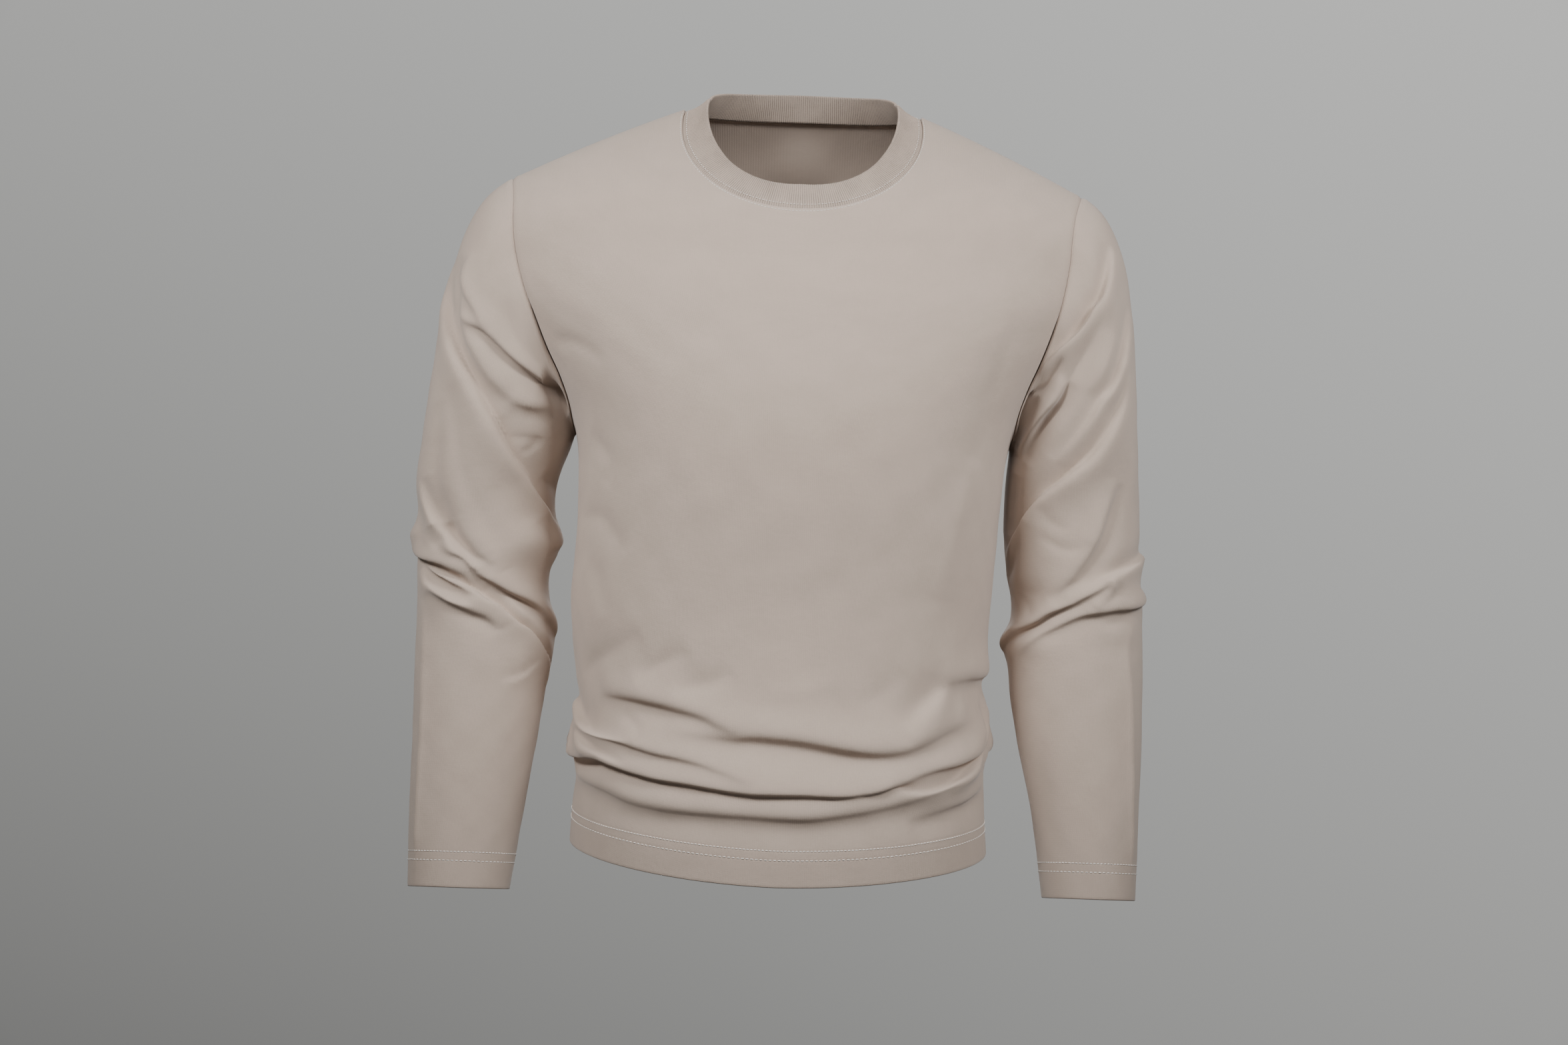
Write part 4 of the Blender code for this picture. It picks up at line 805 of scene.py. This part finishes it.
def clothMesh(name, grid, pattern, outward, ring):
    # a grid as a mesh with the cloth's own pattern as its UV map; faces look outwards, which is told by
    # the direction out of the cloth at the middle row, a third of the way across
    rows, columns = grid.shape[:2]
    used = columns - 1 if ring else columns
    index = np.arange(rows * used).reshape(rows, used)
    right = np.roll(index, -1, axis=1)
    cells = columns - 1
    a, b = index[:-1, :cells], right[:-1, :cells]
    c, d = right[1:, :cells], index[1:, :cells]
    faces = np.stack([a, b, c, d], axis=2).reshape(-1, 4)
    uvIndex = np.arange(rows * columns).reshape(rows, columns)
    uvFaces = np.stack([uvIndex[:-1, :-1], uvIndex[:-1, 1:], uvIndex[1:, 1:], uvIndex[1:, :-1]],
                       axis=2).reshape(-1, 4)
    points = grid[:, :used].reshape(-1, 3) * mm
    corners = points[faces[(rows // 2) * cells + cells // 3]]
    if np.dot(np.cross(corners[1] - corners[0], corners[3] - corners[0]), outward) < 0:
        faces = faces[:, ::-1]
        uvFaces = uvFaces[:, ::-1]
    mesh = bpy.data.meshes.new(name)
    mesh.from_pydata(points.tolist(), [], faces.tolist())
    layer = mesh.uv_layers.new(name="cloth")
    layer.data.foreach_set("uv", pattern.reshape(-1, 2)[uvFaces.ravel()].astype(np.float32).ravel())
    mesh.shade_smooth()
    return mesh


def addObject(name, data):
    thing = bpy.data.objects.new(name, data)
    bpy.context.scene.collection.objects.link(thing)
    return thing


def finished(thing):
    # the object with its modifiers worked in, as one plain mesh
    bpy.context.view_layer.update()
    evaluated = thing.evaluated_get(bpy.context.evaluated_depsgraph_get())
    mesh = bpy.data.meshes.new_from_object(evaluated)
    mesh.name = thing.name
    thing.modifiers.clear()
    old = thing.data
    thing.data = mesh
    bpy.data.meshes.remove(old)
    return thing


def giveThickness(thing):
    wall = thing.modifiers.new("wall", "SOLIDIFY")
    wall.thickness = cloth["thickness"] * mm
    wall.offset = -1
    return finished(thing)


# Materials

knit = {
    "walePitch": 0.9,
    "coursePitch": 0.7,
    "courseSlant": 1.3,
    "relief": 0.00009,
    "light": (0.560, 0.450, 0.374),
    "dark": (0.530, 0.425, 0.352),
    "roughness": 0.88,
    "roughnessRange": 0.16,
    "clouds": (55.0, 3.0, 0.6),    # scale, detail and roughness of each noise
    "yarn": (900.0, 2.0, 0.7),
    "pucker": (260.0, 1.0),
    "puckerRelief": 0.00012,
    "toneShares": {"clouds": 0.55, "yarn": 0.45},
    "toneStops": (0.38, 0.62),
    "loopShares": {"wale": 0.7, "course": 0.3, "yarn": 0.6},
    "sheen": 0.30,
    "sheenRoughness": 0.55,
    "specular": 0.25,
    "stitchGroove": 0.00015,
    "grooveWidth": 0.8,
}
rib = {
    "light": (0.545, 0.438, 0.364),
    "dark": (0.505, 0.405, 0.335),
    "roughness": 0.9,
    "loopPitch": 0.8,
    "ribPitch": 1.4,
    # painted shade: the colour in the grooves between the ribs is this share of the dark tone
    "paintedGrooveShade": 0.55,
    "cloudScale": 70.0,
    "yarn": (800.0, 2.0, 0.7),
    # of the tone, the rib's share paints light on the rib tops and shade in the grooves; clouds and yarn vary
    # at random
    "toneShares": {"clouds": 0.3, "yarn": 0.3, "rib": 0.4},
    "toneStops": (0.25, 0.5, 0.75),
    "loopShare": 0.4,
    "relief": 0.00010,
}
thread = {
    "colour": (0.95, 0.90, 0.84),
    "twistShade": 0.86,
    "twist": (2500.0, 1.0),
    "twistStops": (0.3, 0.7),
    "roughness": 0.6,
}


class Wire:
    # a socket of a node tree; arithmetic on it adds Math nodes
    def __init__(self, tree, socket):
        self.tree = tree
        self.socket = socket

    def add(self, kind, settings=None, inputs=None, output=0):
        node = self.tree.nodes.new("ShaderNode" + kind)
        for key, value in (settings or {}).items():
            if key == "stops":
                for place, (position, colour) in enumerate(value):
                    ramp = node.color_ramp.elements
                    stop = ramp[place] if place < len(ramp) else ramp.new(position)
                    stop.position = position
                    stop.color = (*colour, 1.0)
            else:
                setattr(node, key, value)
        for key, value in (inputs or {}).items():
            if isinstance(value, Wire):
                self.tree.links.new(value.socket, node.inputs[key])
            else:
                node.inputs[key].default_value = value
        return Wire(self.tree, node.outputs[output])

    def parts(self):
        # the three numbers of a place or direction
        node = self.add("SeparateXYZ", None, {0: self}).socket.node
        return [Wire(self.tree, output) for output in node.outputs]

    def noise(self, scale, detail=2.0, roughness=0.5):
        inputs = {"Vector": self, "Scale": scale, "Detail": detail, "Roughness": roughness}
        return self.add("TexNoise", None, inputs)

    def colours(self, *stops):
        return self.add("ValToRGB", {"stops": stops}, {"Fac": self})

    def math(self, operation, *others):
        values = {0: self}
        values.update({place + 1: other for place, other in enumerate(others)})
        return self.add("Math", {"operation": operation}, values)

    def __add__(self, other):
        return self.math("ADD", other)

    def __sub__(self, other):
        return self.math("SUBTRACT", other)

    def __mul__(self, other):
        return self.math("MULTIPLY", other)

    def __truediv__(self, other):
        return self.math("DIVIDE", other)

    def __rsub__(self, other):
        return (self * -1.0) + other

    __radd__ = __add__
    __rmul__ = __mul__


def newMaterial(name):
    # a material, its shader, and the wire that its other nodes start from
    material = bpy.data.materials.new(name)
    material.use_nodes = True
    return material, material.node_tree.nodes["Principled BSDF"], Wire(material.node_tree, None)


def feed(shader, **wires):
    for label, wire in wires.items():
        wire.tree.links.new(wire.socket, shader.inputs[label.replace("_", " ")])


def grooves(v, heights, width):
    # 1 on each line at a given height, falling off to both sides
    total = 0.0
    for height in heights:
        away = (v - height * mm) / (width * mm)
        total = (away * away * -1.0).math("EXPONENT") + total
    return total


def finishKnit(shader, colour, yarn, roughness, relief):
    # what both knits share: uneven roughness, relief, and the dull sheen of cotton
    spread = knit["roughnessRange"]
    bump = relief.add("Bump", None, {"Height": relief, "Strength": 1.0, "Distance": 1.0})
    feed(shader, Base_Color=colour, Roughness=yarn * spread + (roughness - spread / 2), Normal=bump)
    shader.inputs["Sheen Weight"].default_value = knit["sheen"]
    shader.inputs["Sheen Roughness"].default_value = knit["sheenRoughness"]
    shader.inputs["Specular IOR Level"].default_value = knit["specular"]


def jerseyMaterial(name, stitchHeights):
    material, shader, start = newMaterial(name)
    uv = start.add("UVMap", {"uv_map": "cloth"})
    u, v, _ = uv.parts()
    slant = ((u / (knit["walePitch"] * mm)).math("FRACT") - 0.5).math("ABSOLUTE")
    waleRound = 1.0 - slant * 2.0
    course = ((v / (knit["coursePitch"] * mm) + slant * knit["courseSlant"]) * (2 * math.pi)).math("SINE")
    yarn = uv.noise(*knit["yarn"])
    share = knit["toneShares"]
    tone = uv.noise(*knit["clouds"]) * share["clouds"] + yarn * share["yarn"]
    share = knit["loopShares"]
    loops = waleRound * share["wale"] + course * share["course"] + yarn * share["yarn"]
    relief = (loops * knit["relief"] - grooves(v, stitchHeights, knit["grooveWidth"]) * knit["stitchGroove"]
              + uv.noise(*knit["pucker"]) * knit["puckerRelief"])
    colour = tone.colours(*zip(knit["toneStops"], (knit["dark"], knit["light"])))
    finishKnit(shader, colour, yarn, knit["roughness"], relief)
    return material


def ribMaterial():
    material, shader, start = newMaterial("ribKnit")
    uv = start.add("UVMap", {"uv_map": "cloth"})
    u, v, _ = uv.parts()
    loops = ((v / (rib["loopPitch"] * mm)) * (2 * math.pi)).math("SINE")
    # painted light and shade: 1 on the tops of the ribs, which are coloured lighter, and 0 in the grooves
    # between them, which are coloured darker
    ribPaintedLightMask = ((u / (rib["ribPitch"] * mm)) * (2 * math.pi)).math("COSINE") * 0.5 + 0.5
    yarn = uv.noise(*rib["yarn"])
    share = rib["toneShares"]
    tone = uv.noise(rib["cloudScale"]) * share["clouds"] + yarn * share["yarn"] + ribPaintedLightMask * share["rib"]
    # painted shade in the grooves between the ribs, lighter colour on their tops; the rest of the tone
    # differs at random with the clouds and the yarn
    paintedGrooveShadow = [rib["paintedGrooveShade"] * part for part in rib["dark"]]
    colour = tone.colours(*zip(rib["toneStops"], (paintedGrooveShadow, rib["dark"], rib["light"])))
    finishKnit(shader, colour, yarn, rib["roughness"], (loops * rib["loopShare"] + yarn) * rib["relief"])
    return material


def threadMaterial():
    material, shader, start = newMaterial("sewingThread")
    shaded = [thread["twistShade"] * part for part in thread["colour"]]
    twist = start.add("TexCoord", output=3).noise(*thread["twist"])
    feed(shader, Base_Color=twist.colours(*zip(thread["twistStops"], (shaded, thread["colour"]))))
    shader.inputs["Roughness"].default_value = thread["roughness"]
    return material


hemStitches = (26.0, 19.6)
jersey = jerseyMaterial("cottonJersey", hemStitches)
ribKnit = ribMaterial()
sewingThread = threadMaterial()

# The four jersey pieces

pieces = {}
for name, grid in grids.items():
    normal, pattern = normals[name], patterns[name]
    isSleeve = name.startswith("sleeve")
    if isSleeve:    # the hem comes first
        grid, normal, pattern = grid[::-1], normal[::-1], pattern[::-1]
    points, places = turnedHem(grid, normal, pattern)
    outward = normal[len(points) // 2 - (len(points) - len(grid)), (grid.shape[1] - 1) // 3]
    mesh = clothMesh(name + "_cloth", points, places, outward, isSleeve)
    mesh.materials.append(jersey)
    pieces[name] = giveThickness(addObject(name + "_cloth", mesh))
print("jersey pieces made")

# The neckband

band = {
    "width": 22.0,
    "thickness": 1.8,
    "ribs": 336,
    "pointsPerRib": 8,
    "ribHeight": 0.5,
    "steps": 12,
    "ribRise": (1.5, 0.35),    # the width over which the ribs rise from the seam, and their share at it
    "foldAngles": (30, 60, 90, 120, 150),
    "foldLength": 3,    # of the pattern that the fold takes up
    "innerRibShare": 0.6,
    "seamRounds": 3,    # of smoothing for the seam's direction
}


def neckLoop(rows):
    # one closed line: round the front from the right shoulder to the left one, then back behind the neck
    around = rows["front"][-1][onNeck]
    behind = rows["back"][-1][onNeck][::-1]
    return np.concatenate([around, behind[1:-1]])


def neckBand():
    seam = neckLoop(grids)
    share = shares[onNeck] / neck["share"] * 90
    angle = np.abs(np.concatenate([share, 180 - share[::-1][1:-1]]))
    angle = np.where(angle > 180, 360 - angle, angle)
    following = np.roll(seam, -1, axis=0)
    length = np.concatenate([[0.0], np.cumsum(np.linalg.norm(following - seam, axis=1))])
    count = band["ribs"] * band["pointsPerRib"]
    at = np.arange(count) / count * length[-1]

    def spread(values):
        closed = np.concatenate([values, values[:1]])
        if closed.ndim == 1:
            return np.interp(at, length, closed)
        return np.stack([np.interp(at, length, closed[:, k]) for k in range(closed.shape[1])], axis=1)

    along = np.roll(seam, -1, axis=0) - np.roll(seam, 1, axis=0)
    for _ in range(band["seamRounds"]):
        along = (np.roll(along, 1, axis=0) + 2 * along + np.roll(along, -1, axis=0)) / 4
    along /= np.linalg.norm(along, axis=1)[:, None]
    inward = np.stack([-along[:, 1], along[:, 0], np.zeros(len(seam))], axis=1)
    inward /= np.linalg.norm(inward, axis=1)[:, None]
    upward = np.cross(along, inward)
    seam, angle, inward, upward = spread(seam), spread(angle), spread(inward), spread(upward)
    low = smoothRead(bandRows, "atSeam", angle)
    high = smoothRead(bandRows, "atFold", angle)
    line = seam
    lines, outs = [], []
    step = band["width"] / band["steps"]
    for number in range(band["steps"] + 1):
        lift = np.radians(low + (high - low) * number / band["steps"])[:, None]
        lines.append(line)
        outs.append(upward * np.cos(lift) - inward * np.sin(lift))
        line = line + (inward * np.cos(lift) + upward * np.sin(lift)) * step
    lines, outs = np.array(lines), np.array(outs)
    widths = [number * step for number in range(band["steps"] + 1)]
    wave = 0.5 + 0.5 * np.cos(2 * math.pi * np.arange(count) / band["pointsPerRib"])
    full = band["thickness"]
    rows, places = [], []
    for number, width in enumerate(widths[:-1]):
        raised = band["ribHeight"] * eased(width / band["ribRise"][0] + band["ribRise"][1])
        rows.append(lines[number] + outs[number] * (raised * wave - cloth["seamDip"]
                                                    * math.exp(-(width / cloth["seamWidth"])**2))[:, None])
        places.append(width)
    tip, tipOut = lines[-2], outs[-2]
    ahead = lines[-1] - lines[-2]
    ahead /= np.linalg.norm(ahead, axis=1)[:, None]
    for turn in np.radians(band["foldAngles"]):
        radius = full / 2
        direction = tipOut * math.cos(turn) + ahead * math.sin(turn)
        rows.append(tip - tipOut * radius + direction * (radius + band["ribHeight"] * wave[:, None])
                    + ahead * (step - radius) * math.sin(turn))
        places.append(band["width"] + band["foldLength"] * turn / math.pi)
    for number in range(band["steps"] - 1, -1, -1):
        inner = full + band["innerRibShare"] * band["ribHeight"] * wave
        rows.append(lines[number] - outs[number] * inner[:, None])
        places.append(2 * band["width"] + band["foldLength"] - widths[number])
    rows.append(rows[0].copy())
    places.append(2 * band["width"] + band["foldLength"] + full)
    grid = np.array([np.concatenate([row, row[:1]]) for row in rows])
    girth = np.arange(count + 1) / band["pointsPerRib"] * rib["ribPitch"] * mm
    pattern = np.stack([np.broadcast_to(girth, grid.shape[:2]),
                        np.broadcast_to(np.array(places)[:, None] * mm, grid.shape[:2])], axis=2)
    return grid, pattern, lines, outs


bandGrid, bandPattern, bandLines, bandOuts = neckBand()
bandMesh = clothMesh("neckband", bandGrid, bandPattern, (0, 0, 1), True)
bandMesh.materials.append(ribKnit)
pieces["collar"] = addObject("neckband", bandMesh)
print("neckband made")

# Stitches: each row is a closed line over the cloth with one small thread at every step

stitching = {
    "hemUpper": {"pitch": 2.7, "length": 2.2, "width": 0.88},
    "hemLower": {"pitch": 3.3, "length": 2.5, "width": 0.86},
    "neckOuter": {"pitch": 2.6, "length": 2.1, "width": 0.66},
    "neckInner": {"pitch": 2.6, "length": 1.9, "width": 0.60},
    "raised": 0.12,
    "neckAway": 3.3,    # from the neck seam, over the panel and over the band
}


def stitchTree():
    tree = bpy.data.node_groups.new("stitchRow", "GeometryNodeTree")
    tree.is_modifier = True
    sockets = {}
    for label, kind in (("Geometry", "Geometry"), ("Pitch", "Float"), ("Length", "Float"), ("Width", "Float"),
                        ("Thread", "Material")):
        socket = tree.interface.new_socket(label, in_out="INPUT", socket_type="NodeSocket" + kind)
        sockets[label] = socket.identifier
    tree.interface.new_socket("Geometry", in_out="OUTPUT", socket_type="NodeSocketGeometry")
    kinds = {
        "given": "NodeGroupInput",
        "curve": "GeometryNodeMeshToCurve",
        "steps": "GeometryNodeResampleCurve",
        "tangent": "GeometryNodeInputTangent",
        "align": "FunctionNodeAlignRotationToVector",
        "ball": "GeometryNodeMeshUVSphere",
        "size": "ShaderNodeCombineXYZ",
        "shape": "GeometryNodeTransform",
        "place": "GeometryNodeInstanceOnPoints",
        "realize": "GeometryNodeRealizeInstances",
        "paint": "GeometryNodeSetMaterial",
        "out": "NodeGroupOutput",
    }
    nodes = {label: tree.nodes.new(kind) for label, kind in kinds.items()}
    nodes["steps"].mode = "LENGTH"
    nodes["align"].axis = "Z"
    for label, value in (("Segments", 6), ("Rings", 4), ("Radius", 0.5)):
        nodes["ball"].inputs[label].default_value = value
    for link in ("given.Geometry curve.Mesh", "curve.Curve steps.Curve", "given.Pitch steps.Length",
                 "steps.Curve place.Points", "tangent.Tangent align.Vector", "align.Rotation place.Rotation",
                 "given.Width size.X", "given.Width size.Y", "given.Length size.Z",
                 "ball.Mesh shape.Geometry", "size.Vector shape.Scale", "shape.Geometry place.Instance",
                 "place.Instances realize.Geometry", "realize.Geometry paint.Geometry",
                 "given.Thread paint.Material", "paint.Geometry out.Geometry"):
        (source, output), (target, socket) = (end.split(".") for end in link.split())
        tree.links.new(nodes[source].outputs[output], nodes[target].inputs[socket])
    return tree, sockets


rowTree, rowSockets = stitchTree()


def stitchRow(name, lines, sizes):
    # lines are closed runs of points in mm
    points, edges = [], []
    for line in lines:
        first, count = len(points), len(line)
        points += (np.asarray(line) * mm).tolist()
        edges += [(first + k, first + (k + 1) % count) for k in range(count)]
    mesh = bpy.data.meshes.new(name)
    mesh.from_pydata(points, edges, [])
    row = addObject(name, mesh)
    modifier = row.modifiers.new("stitches", "NODES")
    modifier.node_group = rowTree
    for label in ("Pitch", "Length", "Width"):
        modifier[rowSockets[label]] = sizes[label.lower()] * mm
    modifier[rowSockets["Thread"]] = sewingThread
    row = finished(row)
    row.data.shade_smooth()
    return row


def hemLines(depth):
    # a closed line round the body and one round each cuff, at a depth above the edge
    found = {}
    for name, grid in grids.items():
        flip = slice(None, None, -1) if name.startswith("sleeve") else slice(None)
        pattern = patterns[name][flip]
        point, _ = gridAtDepth(grid[flip], pattern, cloth["hemDepths"], depth)
        out, _ = gridAtDepth(normals[name][flip], pattern, cloth["hemDepths"], depth)
        found[name] = point + out * stitching["raised"]
    around = np.concatenate([found["front"], found["back"][::-1][1:-1]])
    return [around, found["sleeve_right"][:-1], found["sleeve_left"][:-1]]


stitches = [
    stitchRow("hem_stitches_upper", hemLines(hemStitches[0]), stitching["hemUpper"]),
    stitchRow("hem_stitches_lower", hemLines(hemStitches[1]), stitching["hemLower"]),
]


def pointsBelowTop(name, away):
    # a line over the panel at a distance below its neckline
    grid = grids[name][:, onNeck]
    out = normals[name][:, onNeck]
    distance = np.cumsum(np.linalg.norm(np.diff(grid[::-1], axis=0), axis=2), axis=0)
    line = []
    for column in range(grid.shape[1]):
        row = int(np.searchsorted(distance[:, column], away))
        before = distance[row - 1, column] if row else 0.0
        t = (away - before) / (distance[row, column] - before)
        place = len(grid) - 1 - row
        line.append(grid[place, column] * (1 - t) + grid[place - 1, column] * t
                    + out[place, column] * stitching["raised"])
    return np.array(line)


away = stitching["neckAway"]
outerLine = np.concatenate([pointsBelowTop("front", away), pointsBelowTop("back", away)[::-1][1:-1]])
step = band["width"] / band["steps"]
at = away / step
base = int(at)
innerLine = (bandLines[base] * (1 - at + base) + bandLines[base + 1] * (at - base)
             + bandOuts[base] * (band["ribHeight"] + stitching["raised"]))
stitches.append(stitchRow("neck_stitches_outer", [outerLine], stitching["neckOuter"]))
twicePerRib = innerLine[::band["pointsPerRib"] // 2]
stitches.append(stitchRow("neck_stitches_inner", [twicePerRib], stitching["neckInner"]))
print("stitches made")

# Studio: floor, light, camera

studio = {
    "floorZ": -1.9,
    "floorRadius": 2.2,
    "floorSides": 96,
    "floorGrain": 3.0,
    "floorShades": ((0.3, (0.56, 0.56, 0.55)), (0.7, (0.60, 0.60, 0.59))),
    "floorRoughness": 0.8,
    "keyPower": 2.3,
    "keySpread": 54,
    "keySize": (0.6, 0.4),
    "keyTarget": (0, 0, -0.32),
    "keys": (    # name, place and share of the power
        ("left", (-0.9, -0.95, 0.5), 0.85),
        ("right", (0.95, -0.95, 0.5), 0.85),
        ("front", (0, -1.2, 0.55), 0.15),
        ("back", (0, 1.5, 0.1), 0.6),
    ),
    "wall": 0.408,    # the pale wall behind the shirt, and how its shade runs across and up
    "wallAcross": 0.225,
    "wallUp": 0.50,
    "wallLimits": (0.18, 0.62),
    "wallEdge": (6.7, 5.0),
    "room": 0.08,    # the dimmer room on the other sides
    "roomUp": 0.06,
    "blueShare": 0.975,
    "lens": 42.68,
    "sensor": 36.0,
    "nearest": 0.05,
    "camera": (-0.004, -1.45, -0.319),
    "tilt": 1.95,
}
floorMesh = bpy.data.meshes.new("floor")
turns = [2 * math.pi * k / studio["floorSides"] for k in range(studio["floorSides"])]
floorMesh.from_pydata([(studio["floorRadius"] * math.cos(turn), studio["floorRadius"] * math.sin(turn),
                        studio["floorZ"]) for turn in turns], [], [list(range(len(turns)))])
floor = addObject("floor", floorMesh)
floorMaterial, floorShader, floorStart = newMaterial("paleFloor")
grain = floorStart.add("TexCoord", output=3).noise(studio["floorGrain"])
feed(floorShader, Base_Color=grain.colours(*studio["floorShades"]))
floorShader.inputs["Roughness"].default_value = studio["floorRoughness"]
floorMesh.materials.append(floorMaterial)

for name, place, share in studio["keys"]:
    light = bpy.data.lights.new(name, "AREA")
    light.shape = "RECTANGLE"
    light.size, light.size_y = studio["keySize"]
    light.energy = studio["keyPower"] * share
    light.spread = math.radians(studio["keySpread"])
    lamp = addObject(name, light)
    lamp.location = place
    lamp.visible_camera = False
    lamp.rotation_euler = (Vector(studio["keyTarget"]) - Vector(place)).to_track_quat("-Z", "Y").to_euler()

world = bpy.data.worlds.new("studio")
bpy.context.scene.world = world
world.use_nodes = True
sky = Wire(world.node_tree, None)
rayRight, rayBack, rayUp = sky.add("TexCoord", output=0).parts()
wall = rayRight * studio["wallAcross"] + rayUp * studio["wallUp"] + studio["wall"]
wall = wall.math("MAXIMUM", studio["wallLimits"][0]).math("MINIMUM", studio["wallLimits"][1])
room = rayUp * studio["roomUp"] + studio["room"]
behind = rayBack * studio["wallEdge"][0] - studio["wallEdge"][1]
behind = behind.math("MAXIMUM", 0.0).math("MINIMUM", 1.0)
shade = wall * behind + room * (1.0 - behind)
background = world.node_tree.nodes["Background"]
feed(background, Color=sky.add("CombineColor", None, {0: shade, 1: shade, 2: shade * studio["blueShare"]}))
background.inputs["Strength"].default_value = 1.0

lens = bpy.data.cameras.new("camera")
lens.sensor_width = studio["sensor"]
lens.lens = studio["lens"]
lens.clip_start = studio["nearest"]
camera = addObject("camera", lens)
tilt = math.radians(studio["tilt"])
camera.matrix_world = (Matrix.Translation(studio["camera"])
                       @ Matrix(((math.cos(tilt), -math.sin(tilt), 0, 0), (0, 0, -1, 0),
                                 (math.sin(tilt), math.cos(tilt), 0, 0), (0, 0, 0, 1))))
bpy.context.scene.camera = camera

# Each piece and stitch row hung from the root, the imported part of the same name hidden, and the triangles
# counted

for name, piece in pieces.items():
    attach(piece, "root")
    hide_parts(name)
for row in stitches:
    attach(row, "root")
triangles = {}
for piece in [*pieces.values(), *stitches]:
    piece.data.calc_loop_triangles()
    triangles[piece.name] = len(piece.data.loop_triangles)
print("triangles:", triangles, sum(triangles.values()))

print("scene ready")
